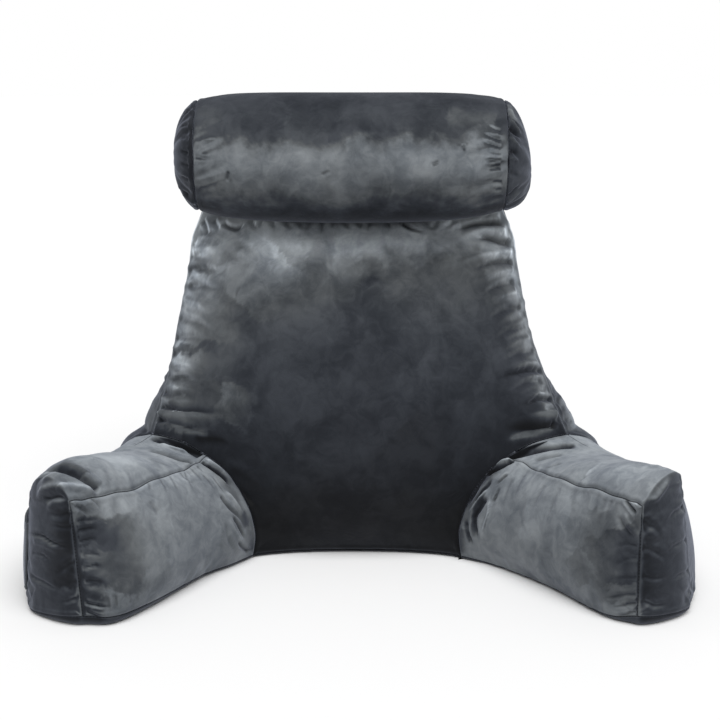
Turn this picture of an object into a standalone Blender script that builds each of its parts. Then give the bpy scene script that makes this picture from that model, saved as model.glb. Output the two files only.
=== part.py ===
"""Reading pillow with arms: a stuffed back, two splayed arms, a neck roll and a side pocket.

Every cushion is a closed solid whose skin is a set of sewn panels. A panel is a grid that is laid
between its seams, swollen into a crown and pressed with its folds. Metres, +Z up, front at -Y.
"""

import math
from collections import namedtuple

import bmesh
import bpy
from mathutils import Vector

# Driving dimensions -----------------------------------------------------------------------------
PLAN_SHIFT = Vector((0.0013, -0.0353, 0.0))  # brings the middle of the footprint to the origin
PARTING = 0.00015  # half of the gap between two cushions that are sewn together
CREASE_CLEARANCE = 0.0006  # how far the panels stay off the joint plane beside the seam
CREASE_SLOPE = 0.16  # how fast that clearance grows away from the seam
CREASE_DEPTH = 0.0045  # the most that it grows to
SEAM_PUFF = 0.0022  # how far the cloth swells beside a seam, which leaves the seam in a channel
SEAM_PUFF_WIDTH = 0.0065
SEAM_CROWD = 0.6  # how much the grid lines crowd towards the seams
SEAT_GAP = 0.0011  # between the back and the roll that lies on it
WELD = 0.00002
SHARP_ANGLE = math.radians(50.0)  # edges that turn more than this are shaded as edges
CURVE_STEPS = 14  # steps of a curve between two of its points, before it is cut into spans

# The plan line where an arm is sewn to the back, from the seat outwards to the flank.
JOINT_START = Vector((0.114, 0.024, 0.0))
JOINT_ANGLE = math.radians(26.7)
SEAM_RISE = 0.004  # height of the back's bottom seams above the floor
BASE_INSET = 0.009  # how far the base panel tucks in below the bottom seams
BASE_BEND = (0.22, 0.45)  # its bend on the way down: share of the inset, share of the height left

# Profile points on the joint plane: distance along the plan line, height.
INNER_JOINT = [
    (0.0, SEAM_RISE),
    (-0.003, 0.029),
    (0.003, 0.054),
    (0.016, 0.077),
    (0.035, 0.099),
    (0.074, 0.119),
]
UPPER_JOINT = [(0.074, 0.119), (0.098, 0.127), (0.121, 0.1294), (0.142, 0.130)]
FLANK = [(0.142, 0.130), (0.172, 0.120), (0.194, 0.092), (0.205, 0.050), (0.199, SEAM_RISE)]

# The side seam of the back, from the joint up to the top corner, for the +X side.
SIDE_SEAM = [
    (0.228, 0.103, 0.168),
    (0.2085, 0.119, 0.237),
    (0.1925, 0.136, 0.317),
    (0.188, 0.145, 0.352),
]
TOP_CORNER = (0.174, 0.152, 0.388)
UPPER_LEAN = -0.008  # how far the top of the back and the roll sit off centre
LEAN_HEIGHTS = (0.13, 0.25)  # the lean starts at the first height and is full at the second

# Middle lines of the back's front and rear panels: y, z, from the bottom seam to the top seam.
FRONT_LOWER = [(0.046, SEAM_RISE), (0.022, 0.045), (0.009, 0.095), (0.009, 0.140)]
FRONT_UPPER = [
    (0.009, 0.140),
    (0.021, 0.200),
    (0.044, 0.275),
    (0.073, 0.340),
    (0.108, 0.390),
    (0.152, 0.424),
]
REAR_LOWER = [(0.234, SEAM_RISE), (0.246, 0.050), (0.248, 0.100), (0.245, 0.140)]
REAR_UPPER = [
    (0.245, 0.140),
    (0.237, 0.200),
    (0.219, 0.280),
    (0.196, 0.350),
    (0.176, 0.398),
    (0.152, 0.424),
]
BACK_INSIDE = Vector((0.0, 0.13, 0.0))  # a floor point that the back stands round
FLANK_PUSH = 0.0355  # how far the rear panel bulges past the side seams
FLANK_PUSH_HEIGHT = 0.136  # the bulge is fullest here and fades above it
FLANK_PUSH_SPREAD = 0.062  # height over which it fades
FLANK_PUSH_REACH = 0.07  # where across the panel it is fullest
FLANK_PUSH_FALL = 1.3  # how fast it lessens below its fullest height

# Arms: corners of the sewn panels for the +X side.
FRONT_INNER = (0.279, -0.174)
FRONT_OUTER = (0.341, -0.124)
END_SEAM_RISE = 0.012
INNER_TOP = [
    (0.189, 0.014, 0.113),
    (0.208, -0.035, 0.117),
    (0.229, -0.082, 0.121),
    (0.264, -0.140, 0.127),
]
OUTER_TOP = [
    (0.258, 0.053, 0.126),
    (0.286, 0.024, 0.121),
    (0.312, -0.030, 0.119),
    (0.328, -0.080, 0.124),
]
OUTER_BOTTOM = [(0.3565, -0.080, 0.009), (0.353, -0.005, 0.007), (0.330, 0.060, 0.005)]
LEFT_INNER_BOTTOM = [
    (0.145, -0.005, 0.004),
    (0.172, -0.038, 0.005),
    (0.215, -0.124, 0.008),
    (0.247, -0.170, 0.010),
]
RIGHT_INNER_BOTTOM = [(0.155, -0.004, 0.004), (0.205, -0.066, 0.006), (0.250, -0.148, 0.009)]

ArmSize = namedtuple("ArmSize", "side inner_height outer_height crown_height inner_bottom")
ARMS = {
    "arm_left": ArmSize(-1, 0.133, 0.123, 0.1555, LEFT_INNER_BOTTOM),
    "arm_right": ArmSize(1, 0.128, 0.138, 0.148, RIGHT_INNER_BOTTOM),
}
STRIP_SEAM_HEIGHT = 0.124  # mean height of the two seams beside an arm's boxing strip
END_TAPER = (0.006, 0.004)  # how far the end's outer corner leans in and back at its top
INNER_SWELL = 0.012
OUTER_SWELL = 0.008
INNER_FACING = (0.76, 0.65)  # the way that an inner panel swells: towards the seat, to the front
END_FACING = math.radians(50.0)  # the way that an arm's end faces, turned forward from sideways
STRIP_FACING = (0.2, -0.2, 1.0)  # the way that a boxing strip faces, for the +X side
CREST_CLIMB = 0.75  # share of the arm's length over which its crown climbs
CREST_DROP = 0.28  # share of the crown's rise lost again at the end
CREST_LEAN = 0.004  # how far the crown leans over the end
END_BULGE = 0.016
END_BULGE_SPAN = (0.12, 0.72)  # the part of a full crown that shows down the end
END_LIFT = 0.010  # how far the end's crown stays up beside its top corner

# Neck roll: its axis runs along X.
ROLL_CENTRE = Vector((-0.010, 0.080, 0.4525))
ROLL_HALF = 0.169  # from the middle to the seam of an end panel
ROLL_RADIUS = 0.0718
ROLL_END_RADIUS = 0.0602
ROLL_SAG = 0.003
ROLL_DRAW_IN = 0.032  # length over which the roll narrows to its end seams
ROLL_CROWD = 0.7  # how much its rings crowd towards the end seams
CAP_DEPTHS = {"neck_roll_cap_left": 0.027, "neck_roll_cap_right": 0.031}
ROLL_PUCKER = 0.0012  # depth of the puckers beside the end seams
ROLL_PUCKERS = 10
ROLL_PUCKER_LENGTH = 0.014
CAP_GATHERS = 11
CAP_GATHER_DEPTH = 0.0016
CAP_DOME = 1.3  # how softly the dome rises from its rim
CAP_DROOPS = {"neck_roll_cap_left": 0.001, "neck_roll_cap_right": 0.015}

# Patch pocket on the outside of the left arm, as shares of the arm's outer panel.
POCKET_SPAN = (0.46, 0.91)
POCKET_RISE = (0.20, 0.63)
POCKET_THICKNESS = 0.002
POCKET_MOUTH = 0.010  # how far the middle of its top edge stands off the arm
POCKET_GAPE = 1.3  # how fast it comes away from the arm towards its top edge
POCKET_EDGE_GAP = 0.0011
POCKET_FACING = Vector((-0.966, 0.259, 0.0))

# Grid spans of the panels.
ACROSS_BACK = 34
LOWER_SPANS = 9
STRIP_SPANS = 7
UPPER_SPANS = 19
ARM_SPANS = 22
ROLL_AROUND = 40
ROLL_ALONG = 30
CAP_RINGS = 7
POCKET_COLUMNS = 12
POCKET_ROWS = 8

# Folds pressed into a panel: u and v run from 0 to 1 over it, width and depth are in metres.
# A positive depth is a trough and a negative one is a ridge.
Fold = namedtuple("Fold", "u0 v0 u1 v1 width depth")
BACK_FRONT_FOLDS = [
    Fold(0.02, 0.50, 0.24, 0.49, 0.011, 0.0065),
    Fold(0.02, 0.54, 0.22, 0.53, 0.009, -0.0045),
    Fold(0.03, 0.58, 0.24, 0.56, 0.010, 0.0055),
    Fold(0.02, 0.65, 0.18, 0.62, 0.010, 0.0040),
    Fold(0.05, 0.45, 0.20, 0.30, 0.013, 0.0080),
    Fold(0.98, 0.52, 0.82, 0.48, 0.011, 0.0065),
    Fold(0.98, 0.56, 0.86, 0.53, 0.009, -0.0045),
    Fold(0.97, 0.61, 0.84, 0.57, 0.011, 0.0055),
    Fold(0.95, 0.45, 0.80, 0.30, 0.013, 0.0075),
    Fold(0.97, 0.85, 0.80, 0.74, 0.012, 0.0055),
    Fold(0.97, 0.80, 0.86, 0.67, 0.010, 0.0045),
    Fold(0.97, 0.73, 0.88, 0.66, 0.010, 0.0040),
    Fold(0.03, 0.83, 0.17, 0.75, 0.011, 0.0038),
]
ARM_INNER_FOLDS = [
    Fold(0.05, 0.92, 0.10, 0.35, 0.009, 0.0065),
    Fold(0.12, 0.95, 0.19, 0.45, 0.009, 0.0058),
    Fold(0.19, 0.95, 0.27, 0.60, 0.009, 0.0045),
    Fold(0.32, 0.95, 0.38, 0.62, 0.010, 0.0042),
    Fold(0.50, 0.95, 0.54, 0.68, 0.011, 0.0038),
    Fold(0.98, 0.78, 0.78, 0.80, 0.009, 0.0045),
    Fold(0.98, 0.22, 0.80, 0.18, 0.009, 0.0040),
    Fold(0.95, 0.92, 0.80, 0.62, 0.012, -0.0040),
]
ARM_STRIP_FOLDS = [
    Fold(0.08, 0.06, 0.75, 0.05, 0.009, 0.0075),
    Fold(0.05, 0.14, 0.60, 0.17, 0.009, 0.0055),
    Fold(0.10, 0.56, 0.62, 0.36, 0.012, 0.0075),
    Fold(0.30, 0.62, 0.85, 0.48, 0.010, -0.0050),
    Fold(0.10, 0.66, 0.60, 0.59, 0.011, 0.0080),
    Fold(0.95, 0.84, 0.15, 0.92, 0.009, 0.0045),
]
ARM_OUTER_FOLDS = [
    Fold(0.10, 0.95, 0.22, 0.50, 0.012, 0.0035),
    Fold(0.30, 0.95, 0.34, 0.60, 0.011, 0.0025),
]
BACK_REAR_FOLDS = [
    Fold(0.06, 0.50, 0.20, 0.36, 0.014, 0.0045),
    Fold(0.94, 0.50, 0.80, 0.36, 0.014, 0.0045),
    Fold(0.10, 0.86, 0.22, 0.70, 0.013, 0.0030),
    Fold(0.90, 0.86, 0.78, 0.70, 0.013, 0.0030),
]


# Cloth colours and roughness of the pieces.
Velvet = namedtuple("Velvet", "colour roughness")
VELVETS = {
    "back_cushion": Velvet((0.055, 0.060, 0.068), 0.72),
    "arm_left": Velvet((0.075, 0.081, 0.090), 0.70),
    "arm_right": Velvet((0.075, 0.081, 0.090), 0.70),
    "neck_roll": Velvet((0.065, 0.071, 0.079), 0.70),
    "neck_roll_cap_left": Velvet((0.040, 0.044, 0.050), 0.74),
    "neck_roll_cap_right": Velvet((0.040, 0.044, 0.050), 0.74),
    "side_pocket_left": Velvet((0.060, 0.065, 0.073), 0.72),
}


# Curves -----------------------------------------------------------------------------------------
def spread(t, crowd=SEAM_CROWD):
    """Places from 0 to 1 that crowd towards both ends."""
    return t - crowd * math.sin(2.0 * math.pi * t) / (2.0 * math.pi)


def smooth_curve(points, spans, crowd=0.0):
    """A smooth curve through the points, cut into spans that may crowd towards its ends."""
    points = [Vector(point) for point in points]
    padded = [points[0] * 2 - points[1]] + points + [points[-1] * 2 - points[-2]]
    dense = []
    for before, start, end, after in zip(padded, padded[1:], padded[2:], padded[3:]):
        for step in range(CURVE_STEPS):
            t = step / CURVE_STEPS
            dense.append(
                0.5
                * (
                    start * 2
                    + (end - before) * t
                    + (before * 2 - start * 5 + end * 4 - after) * t**2
                    + (start * 3 - before - end * 3 + after) * t**3
                )
            )
    dense.append(points[-1])
    travelled = [0.0]
    for start, end in zip(dense, dense[1:]):
        travelled.append(travelled[-1] + (end - start).length)
    curve = []
    index = 0
    for span in range(spans + 1):
        target = travelled[-1] * spread(span / spans, crowd)
        while index < len(dense) - 2 and travelled[index + 1] < target:
            index += 1
        share = (target - travelled[index]) / (travelled[index + 1] - travelled[index])
        curve.append(dense[index].lerp(dense[index + 1], share))
    return curve


def joint_direction(side):
    """The plan direction of the joint plane, from the seat outwards."""
    return Vector((side * math.cos(JOINT_ANGLE), math.sin(JOINT_ANGLE), 0.0))


def joint_normal(side):
    """The normal of the joint plane, towards the arm."""
    return Vector((side * math.sin(JOINT_ANGLE), -math.cos(JOINT_ANGLE), 0.0))


def on_joint_plane(profile, side, offset):
    """Points of a profile on the plane where an arm meets the back, offset along its normal."""
    start = Vector((side * JOINT_START.x, JOINT_START.y, 0.0)) + joint_normal(side) * offset
    points = []
    for distance, height in profile:
        points.append(start + joint_direction(side) * distance + Vector((0.0, 0.0, height)))
    return points


def joint_curves(side, offset):
    """The seam below the arm's boxing strip, the seam beside the strip, and the flank's line."""
    inner = smooth_curve(on_joint_plane(INNER_JOINT, side, offset), LOWER_SPANS, SEAM_CROWD)
    upper = smooth_curve(on_joint_plane(UPPER_JOINT, side, offset), STRIP_SPANS, SEAM_CROWD)
    flank = smooth_curve(on_joint_plane(FLANK, side, offset), LOWER_SPANS, SEAM_CROWD)
    return inner, upper, flank


def joined(*curves):
    """Curves that follow each other, as one list of points."""
    points = list(curves[0])
    for curve in curves[1:]:
        points.extend(curve[1:])
    return points


def mirrored(points, side):
    """Points given for the +X side, on the side asked for."""
    return [Vector((side * x, y, z)) for x, y, z in points]


# Panels -----------------------------------------------------------------------------------------
def crown_share(t, power=2.5, steepness=0.78):
    """How much of a panel's swell shows at t across it: 0 at both seams, 1 in the middle."""
    return max(0.0, 1.0 - abs(2.0 * t - 1.0) ** power) ** steepness


def three_rail_rows(left, middle, right, spans):
    """Rows from the left rail to the right rail that swell out to the middle rail."""
    rows = []
    for start, crest, end in zip(left, middle, right):
        swell = crest - (start + end) / 2.0
        row = []
        for index in range(spans + 1):
            across = spread(index / spans)
            row.append(start.lerp(end, across) + swell * crown_share(across))
        rows.append(row)
    return rows


def four_seam_rows(bottom, top, left, right, swell):
    """Rows of a patch that fills four seams and swells by the given vector in its middle."""
    rows = []
    columns = len(bottom) - 1
    height = len(left) - 1
    for j in range(height + 1):
        v = spread(j / height)
        row = []
        for i in range(columns + 1):
            u = spread(i / columns)
            ruled = bottom[i].lerp(top[i], v) + left[j].lerp(right[j], u)
            corners = bottom[0].lerp(bottom[-1], u).lerp(top[0].lerp(top[-1], u), v)
            row.append(ruled - corners + swell * crown_share(u) * crown_share(v))
        rows.append(row)
    return rows


def distance_to_segment(point, start, end):
    """Distance from a point to a segment."""
    along = end - start
    share = (point - start).dot(along) / max(along.length_squared, 1e-12)
    share = min(1.0, max(0.0, share))
    return (point - start - along * share).length


def surface_point(rows, u, v):
    """The point of a panel at u across and v along it."""
    place_v = min(max(v, 0.0), 1.0) * (len(rows) - 1)
    place_u = min(max(u, 0.0), 1.0) * (len(rows[0]) - 1)
    j = min(int(place_v), len(rows) - 2)
    i = min(int(place_u), len(rows[0]) - 2)
    low = rows[j][i].lerp(rows[j][i + 1], place_u - i)
    high = rows[j + 1][i].lerp(rows[j + 1][i + 1], place_u - i)
    return low.lerp(high, place_v - j)


def surface_normal(rows, i, j):
    """Unit normal of a panel at one of its inner grid points."""
    across = rows[j][i + 1] - rows[j][i - 1]
    along = rows[j + 1][i] - rows[j - 1][i]
    return across.cross(along).normalized()


def seam_puff(rows, i, j):
    """Swell of the cloth at a grid point, beside the seams at the four edges of its panel."""
    seams = (rows[0][i], rows[-1][i], rows[j][0], rows[j][-1])
    near = min((rows[j][i] - seam_point).length for seam_point in seams) / SEAM_PUFF_WIDTH
    return SEAM_PUFF * near * math.exp(1.0 - near)


def press_folds(rows, folds, outward):
    """Press a table of folds into a panel and puff it beside its seams, which stay in place."""
    lines = []
    for fold in folds:
        start = surface_point(rows, fold.u0, fold.v0)
        end = surface_point(rows, fold.u1, fold.v1)
        lines.append((fold, start, end))
    moved = [list(row) for row in rows]
    for j in range(1, len(rows) - 1):
        for i in range(1, len(rows[0]) - 1):
            depth = -seam_puff(rows, i, j)
            for fold, start, end in lines:
                distance = distance_to_segment(rows[j][i], start, end)
                depth += fold.depth * math.exp(-((distance / fold.width) ** 2))
            normal = surface_normal(rows, i, j)
            if normal.dot(outward) < 0.0:
                normal = -normal
            moved[j][i] = rows[j][i] - normal * depth
    return moved


def add_panel(bm, rows):
    """Lay a grid over the rows of a panel."""
    height = len(rows) - 1
    columns = len(rows[0]) - 1
    made = bmesh.ops.create_grid(bm, x_segments=columns, y_segments=height, size=0.5)
    for vertex in made["verts"]:
        i = round((vertex.co.x + 0.5) * columns)
        j = round((vertex.co.y + 0.5) * height)
        vertex.co = rows[j][i]


def add_flat(bm, outline):
    """A flat face inside a closed outline."""
    bm.faces.new([bm.verts.new(point) for point in outline])


def keep_to_side(rows, side, direction):
    """Hold a panel's inner points clear of the plane where the arm and the back are sewn."""
    normal = joint_normal(side) * direction
    origin = Vector((side * JOINT_START.x, JOINT_START.y, 0.0))
    seam = joined(*joint_curves(side, 0.0))
    held = [list(row) for row in rows]
    for j in range(1, len(rows) - 1):
        for i in range(1, len(rows[0]) - 1):
            point = rows[j][i]
            from_seam = min((point - seam_point).length for seam_point in seam)
            clear = CREASE_CLEARANCE + min(CREASE_DEPTH, CREASE_SLOPE * from_seam)
            short = PARTING + clear - (point - origin).dot(normal)
            if short > 0.0 and side * point.x > 0.0:
                held[j][i] = point + normal * short
    return held


def base_rows(seam, inside, end_direction):
    """Rows of the base panel's edge, from a bottom seam down and in to the floor."""
    rows = [list(seam), [], []]
    last = len(seam) - 1
    for index, point in enumerate(seam):
        tangent = seam[min(index + 1, last)] - seam[max(index - 1, 0)]
        inward = Vector((-tangent.y, tangent.x, 0.0)).normalized()
        if inward.dot(inside - point) < 0.0:
            inward = -inward
        if end_direction and index == 0:
            inward = end_direction[0]
        if end_direction and index == last:
            inward = end_direction[1]
        bend = Vector((point.x, point.y, point.z * BASE_BEND[1]))
        rows[1].append(bend + inward * (BASE_INSET * BASE_BEND[0]))
        rows[2].append(Vector((point.x, point.y, 0.0)) + inward * BASE_INSET)
    return rows


# Objects ----------------------------------------------------------------------------------------
def cloth_material(name):
    """A plain cloth material for the piece of that name."""
    velvet = VELVETS[name]
    material = bpy.data.materials.new(name + "_velvet")
    material.use_nodes = True
    shader = material.node_tree.nodes["Principled BSDF"]
    shader.inputs["Base Color"].default_value = (*velvet.colour, 1.0)
    shader.inputs["Roughness"].default_value = velvet.roughness
    shader.inputs["Metallic"].default_value = 0.0
    material.diffuse_color = (*velvet.colour, 1.0)
    return material


def finish_object(bm, name, collection):
    """Weld the panels into one closed skin and put it in the scene."""
    bmesh.ops.remove_doubles(bm, verts=bm.verts, dist=WELD)
    bmesh.ops.dissolve_degenerate(bm, edges=bm.edges, dist=WELD)
    bmesh.ops.translate(bm, verts=bm.verts, vec=PLAN_SHIFT)
    bmesh.ops.recalc_face_normals(bm, faces=bm.faces)
    mesh = bpy.data.meshes.new(name)
    bm.to_mesh(mesh)
    bm.free()
    mesh.shade_smooth()
    mesh.set_sharp_from_angle(angle=SHARP_ANGLE)
    mesh.materials.append(cloth_material(name))
    made = bpy.data.objects.new(name, mesh)
    collection.objects.link(made)


# Back cushion -----------------------------------------------------------------------------------
def roll_axis(x):
    """Centre and radius of the neck roll at a place along X."""
    share = min(1.0, abs(x - ROLL_CENTRE.x) / ROLL_HALF)
    from_end = (1.0 - share) * ROLL_HALF
    narrowing = math.exp(-from_end / ROLL_DRAW_IN)
    radius = ROLL_RADIUS - (ROLL_RADIUS - ROLL_END_RADIUS) * narrowing
    sag = ROLL_SAG * (1.0 - share**2)
    return Vector((x, ROLL_CENTRE.y, ROLL_CENTRE.z - sag)), radius


def press_roll_seat(rows):
    """Hollow a panel where the neck roll lies on it."""
    seated = []
    for row in rows:
        seated_row = []
        for point in row:
            centre, radius = roll_axis(point.x)
            clear = radius + SEAT_GAP
            away = Vector((0.0, point.y - centre.y, point.z - centre.z))
            if away.length < clear:
                point = Vector((point.x, centre.y, centre.z)) + away.normalized() * clear
            seated_row.append(point)
        seated.append(seated_row)
    return seated


def leaning(points):
    """Points of the back's middle or sides, leaned a little sideways towards the top."""
    leaned = []
    for point in points:
        share = (point.z - LEAN_HEIGHTS[0]) / (LEAN_HEIGHTS[1] - LEAN_HEIGHTS[0])
        leaned.append(point + Vector((UPPER_LEAN * min(1.0, max(0.0, share)), 0.0, 0.0)))
    return leaned


def push_flanks(rows):
    """Bulge the rear panel outwards beside its seams, most where the back meets the arms."""
    pushed = []
    for row in rows:
        pushed_row = []
        for index, point in enumerate(row):
            across = spread(index / (len(row) - 1))
            side = -1.0 if across < 0.5 else 1.0
            near = min(across, 1.0 - across) / FLANK_PUSH_REACH
            above = (point.z - FLANK_PUSH_HEIGHT) / FLANK_PUSH_SPREAD
            below = max(0.0, -above) * FLANK_PUSH_FALL
            level = math.exp(-(max(0.0, above) ** 2)) / (1.0 + below)
            push = FLANK_PUSH * near * math.exp(1.0 - near) * level
            pushed_row.append(point + Vector((side * push, 0.0, 0.0)))
        pushed.append(pushed_row)
    return pushed


def middle_rail(lower, upper):
    """A middle line of the back, from the bottom seam to the top seam."""
    low = smooth_curve([(0.0, y, z) for y, z in lower], LOWER_SPANS + STRIP_SPANS)
    high = smooth_curve([(0.0, y, z) for y, z in upper], UPPER_SPANS)
    return joined(low, high)


def back_cushion(collection):
    """The stuffed back: a crowned front panel, a rear panel that wraps the flanks, and a base."""
    bm = bmesh.new()
    front_rails = {}
    rear_rails = {}
    for side in (-1, 1):
        inner, upper, flank = joint_curves(side, -PARTING)
        side_points = [upper[-1]] + mirrored(SIDE_SEAM + [TOP_CORNER], side)
        side_seam = leaning(smooth_curve(side_points, UPPER_SPANS))
        side_seam[0] = upper[-1]
        front_rails[side] = joined(inner, upper, side_seam)
        rear_rails[side] = joined(flank[::-1], side_seam)
    front_middle = leaning(middle_rail(FRONT_LOWER, FRONT_UPPER))
    front = three_rail_rows(front_rails[-1], front_middle, front_rails[1], ACROSS_BACK)
    rear_low = smooth_curve([(0.0, y, z) for y, z in REAR_LOWER], LOWER_SPANS)
    rear_high = smooth_curve([(0.0, y, z) for y, z in REAR_UPPER], UPPER_SPANS)
    rear_middle = leaning(joined(rear_low, rear_high))
    rear = three_rail_rows(rear_rails[-1], rear_middle, rear_rails[1], ACROSS_BACK)
    front = press_folds(front, BACK_FRONT_FOLDS, Vector((0.0, -1.0, 0.0)))
    rear = press_folds(push_flanks(rear), BACK_REAR_FOLDS, Vector((0.0, 1.0, 0.0)))
    front = press_roll_seat(front)
    rear = press_roll_seat(rear)
    for side in (-1, 1):
        front = keep_to_side(front, side, -1.0)
        rear = keep_to_side(rear, side, -1.0)
    add_panel(bm, front)
    add_panel(bm, rear)

    left_along, right_along = joint_direction(-1), joint_direction(1)
    front_base = base_rows(front[0], BACK_INSIDE, (left_along, right_along))
    rear_base = base_rows(rear[0], BACK_INSIDE, (-left_along, -right_along))
    add_panel(bm, front_base)
    add_panel(bm, rear_base)
    add_flat(bm, front_base[-1] + rear_base[-1][::-1])
    for side, column in ((-1, 0), (1, -1)):
        inner, upper, flank = joint_curves(side, -PARTING)
        front_edge = [row[column] for row in front_base[:0:-1]]
        rear_edge = [row[column] for row in rear_base[1:]]
        add_flat(bm, front_edge + joined(inner, upper, flank) + rear_edge)
    finish_object(bm, "back_cushion", collection)


# Arms -------------------------------------------------------------------------------------------
def arm_seams(size):
    """The seams of an arm as named curves."""
    side = size.side
    inner, upper, flank = joint_curves(side, PARTING)
    corners = [(*FRONT_INNER, END_SEAM_RISE), (*FRONT_OUTER, END_SEAM_RISE)]
    inner_low, outer_low = mirrored(corners, side)
    inner_high = inner_low + Vector((0.0, 0.0, size.inner_height - END_SEAM_RISE))
    lean_in, lean_back = END_TAPER
    outer_high = outer_low + Vector((-side * lean_in, lean_back, size.outer_height - END_SEAM_RISE))
    inner_bottom = [inner[0]] + mirrored(size.inner_bottom, side) + [inner_low]
    outer_bottom = [flank[-1]] + mirrored(OUTER_BOTTOM[::-1], side) + [outer_low]
    inner_top = [inner[-1]] + mirrored(INNER_TOP, side) + [inner_high]
    outer_top = [upper[-1]] + mirrored(OUTER_TOP, side) + [outer_high]
    return {
        "inner_joint": inner,
        "upper_joint": upper,
        "flank": flank,
        "inner_bottom": smooth_curve(inner_bottom, ARM_SPANS, SEAM_CROWD),
        "outer_bottom": smooth_curve(outer_bottom, ARM_SPANS, SEAM_CROWD),
        "inner_top": smooth_curve(inner_top, ARM_SPANS, SEAM_CROWD),
        "outer_top": smooth_curve(outer_top, ARM_SPANS, SEAM_CROWD),
        "inner_end": smooth_curve([inner_high, inner_low], LOWER_SPANS, SEAM_CROWD),
        "outer_end": smooth_curve([outer_high, outer_low], LOWER_SPANS, SEAM_CROWD),
    }


def strip_crest(seams, size):
    """The crown line of the boxing strip, over the arm's top and down its end."""
    outward = Vector((size.side * math.cos(END_FACING), -math.sin(END_FACING), 0.0))
    top_mids = [(a + b) / 2.0 for a, b in zip(seams["inner_top"], seams["outer_top"])]
    end_mids = [(a + b) / 2.0 for a, b in zip(seams["inner_end"], seams["outer_end"])]
    crest = []
    for index, point in enumerate(top_mids):
        share = spread(index / ARM_SPANS)
        climb = min(1.0, share / CREST_CLIMB)
        climbed = climb * climb * (3.0 - 2.0 * climb)
        dropped = CREST_DROP * max(0.0, (share - CREST_CLIMB) / (1.0 - CREST_CLIMB)) ** 2
        rise = (size.crown_height - STRIP_SEAM_HEIGHT) * (climbed - dropped)
        crest.append(point + outward * (CREST_LEAN * share) + Vector((0.0, 0.0, rise)))
    for index, point in enumerate(end_mids[1:], start=1):
        share = spread(index / LOWER_SPANS)
        bulge_from, bulge_to = END_BULGE_SPAN
        bulge = END_BULGE * crown_share(bulge_from + (bulge_to - bulge_from) * share)
        lift = END_LIFT * (1.0 - share) ** 3
        crest.append(point + outward * bulge + Vector((0.0, 0.0, lift)))
    return crest


def arm(name, size, collection):
    """A stuffed arm: inner panel, boxing strip over the top and end, outer panel and base."""
    bm = bmesh.new()
    seams = arm_seams(size)
    side = size.side
    inward = Vector((-side * INNER_FACING[0], -INNER_FACING[1], 0.0))
    inner = four_seam_rows(
        seams["inner_bottom"],
        seams["inner_top"],
        seams["inner_joint"],
        seams["inner_end"][::-1],
        inward * INNER_SWELL,
    )
    outer = four_seam_rows(
        seams["outer_bottom"],
        seams["outer_top"],
        seams["flank"][::-1],
        seams["outer_end"][::-1],
        -inward * OUTER_SWELL,
    )
    left = joined(seams["inner_top"], seams["inner_end"])
    right = joined(seams["outer_top"], seams["outer_end"])
    strip = three_rail_rows(left, strip_crest(seams, size), right, STRIP_SPANS)
    strip[0] = seams["upper_joint"]
    strip = press_folds(strip, ARM_STRIP_FOLDS, mirrored([STRIP_FACING], side)[0])
    inner = press_folds(inner, ARM_INNER_FOLDS, inward)
    outer = press_folds(outer, ARM_OUTER_FOLDS, -inward)
    inner, strip, outer = (keep_to_side(rows, side, 1.0) for rows in (inner, strip, outer))
    for rows in (inner, strip, outer):
        add_panel(bm, rows)

    end_bottom = strip[-1]
    bottom_seam = joined(seams["inner_bottom"], end_bottom, seams["outer_bottom"][::-1])
    middle = (bottom_seam[0] + bottom_seam[-1] + end_bottom[0] + end_bottom[-1]) / 4.0
    along = joint_direction(side)
    base = base_rows(bottom_seam, middle, (along, -along))
    add_panel(bm, base)
    add_flat(bm, base[-1])
    inner_edge = [row[0] for row in base[:0:-1]]
    outer_edge = [row[-1] for row in base[1:]]
    joint_seam = joined(seams["inner_joint"], seams["upper_joint"], seams["flank"])
    add_flat(bm, inner_edge + joint_seam + outer_edge)
    finish_object(bm, name, collection)
    return outer


# Neck roll --------------------------------------------------------------------------------------
def ring_point(x, angle, reach=1.0):
    """A point round the roll at a place along X: 0 is to the rear, a quarter turn is up."""
    centre, radius = roll_axis(x)
    near = max(0.0, ROLL_HALF - abs(x - ROLL_CENTRE.x)) / ROLL_PUCKER_LENGTH
    pucker = ROLL_PUCKER * abs(math.cos(ROLL_PUCKERS * angle)) * near * math.exp(1.0 - near)
    return centre + Vector((0.0, math.cos(angle), math.sin(angle))) * (radius - pucker) * reach


def ring_angles():
    """Angles of the roll's ring points, the last one back at the first."""
    return [2.0 * math.pi * index / ROLL_AROUND for index in range(ROLL_AROUND + 1)]


def neck_roll(collection):
    """The roll's wrapped body, drawn in a little at its end seams."""
    bm = bmesh.new()
    rows = []
    for index in range(ROLL_ALONG + 1):
        along = spread(index / ROLL_ALONG, ROLL_CROWD) * 2.0 - 1.0
        x = ROLL_CENTRE.x + along * (ROLL_HALF - PARTING)
        rows.append([ring_point(x, angle) for angle in ring_angles()])
    add_panel(bm, rows)
    add_flat(bm, rows[0][:-1])
    add_flat(bm, rows[-1][:-1])
    finish_object(bm, "neck_roll", collection)


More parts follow.
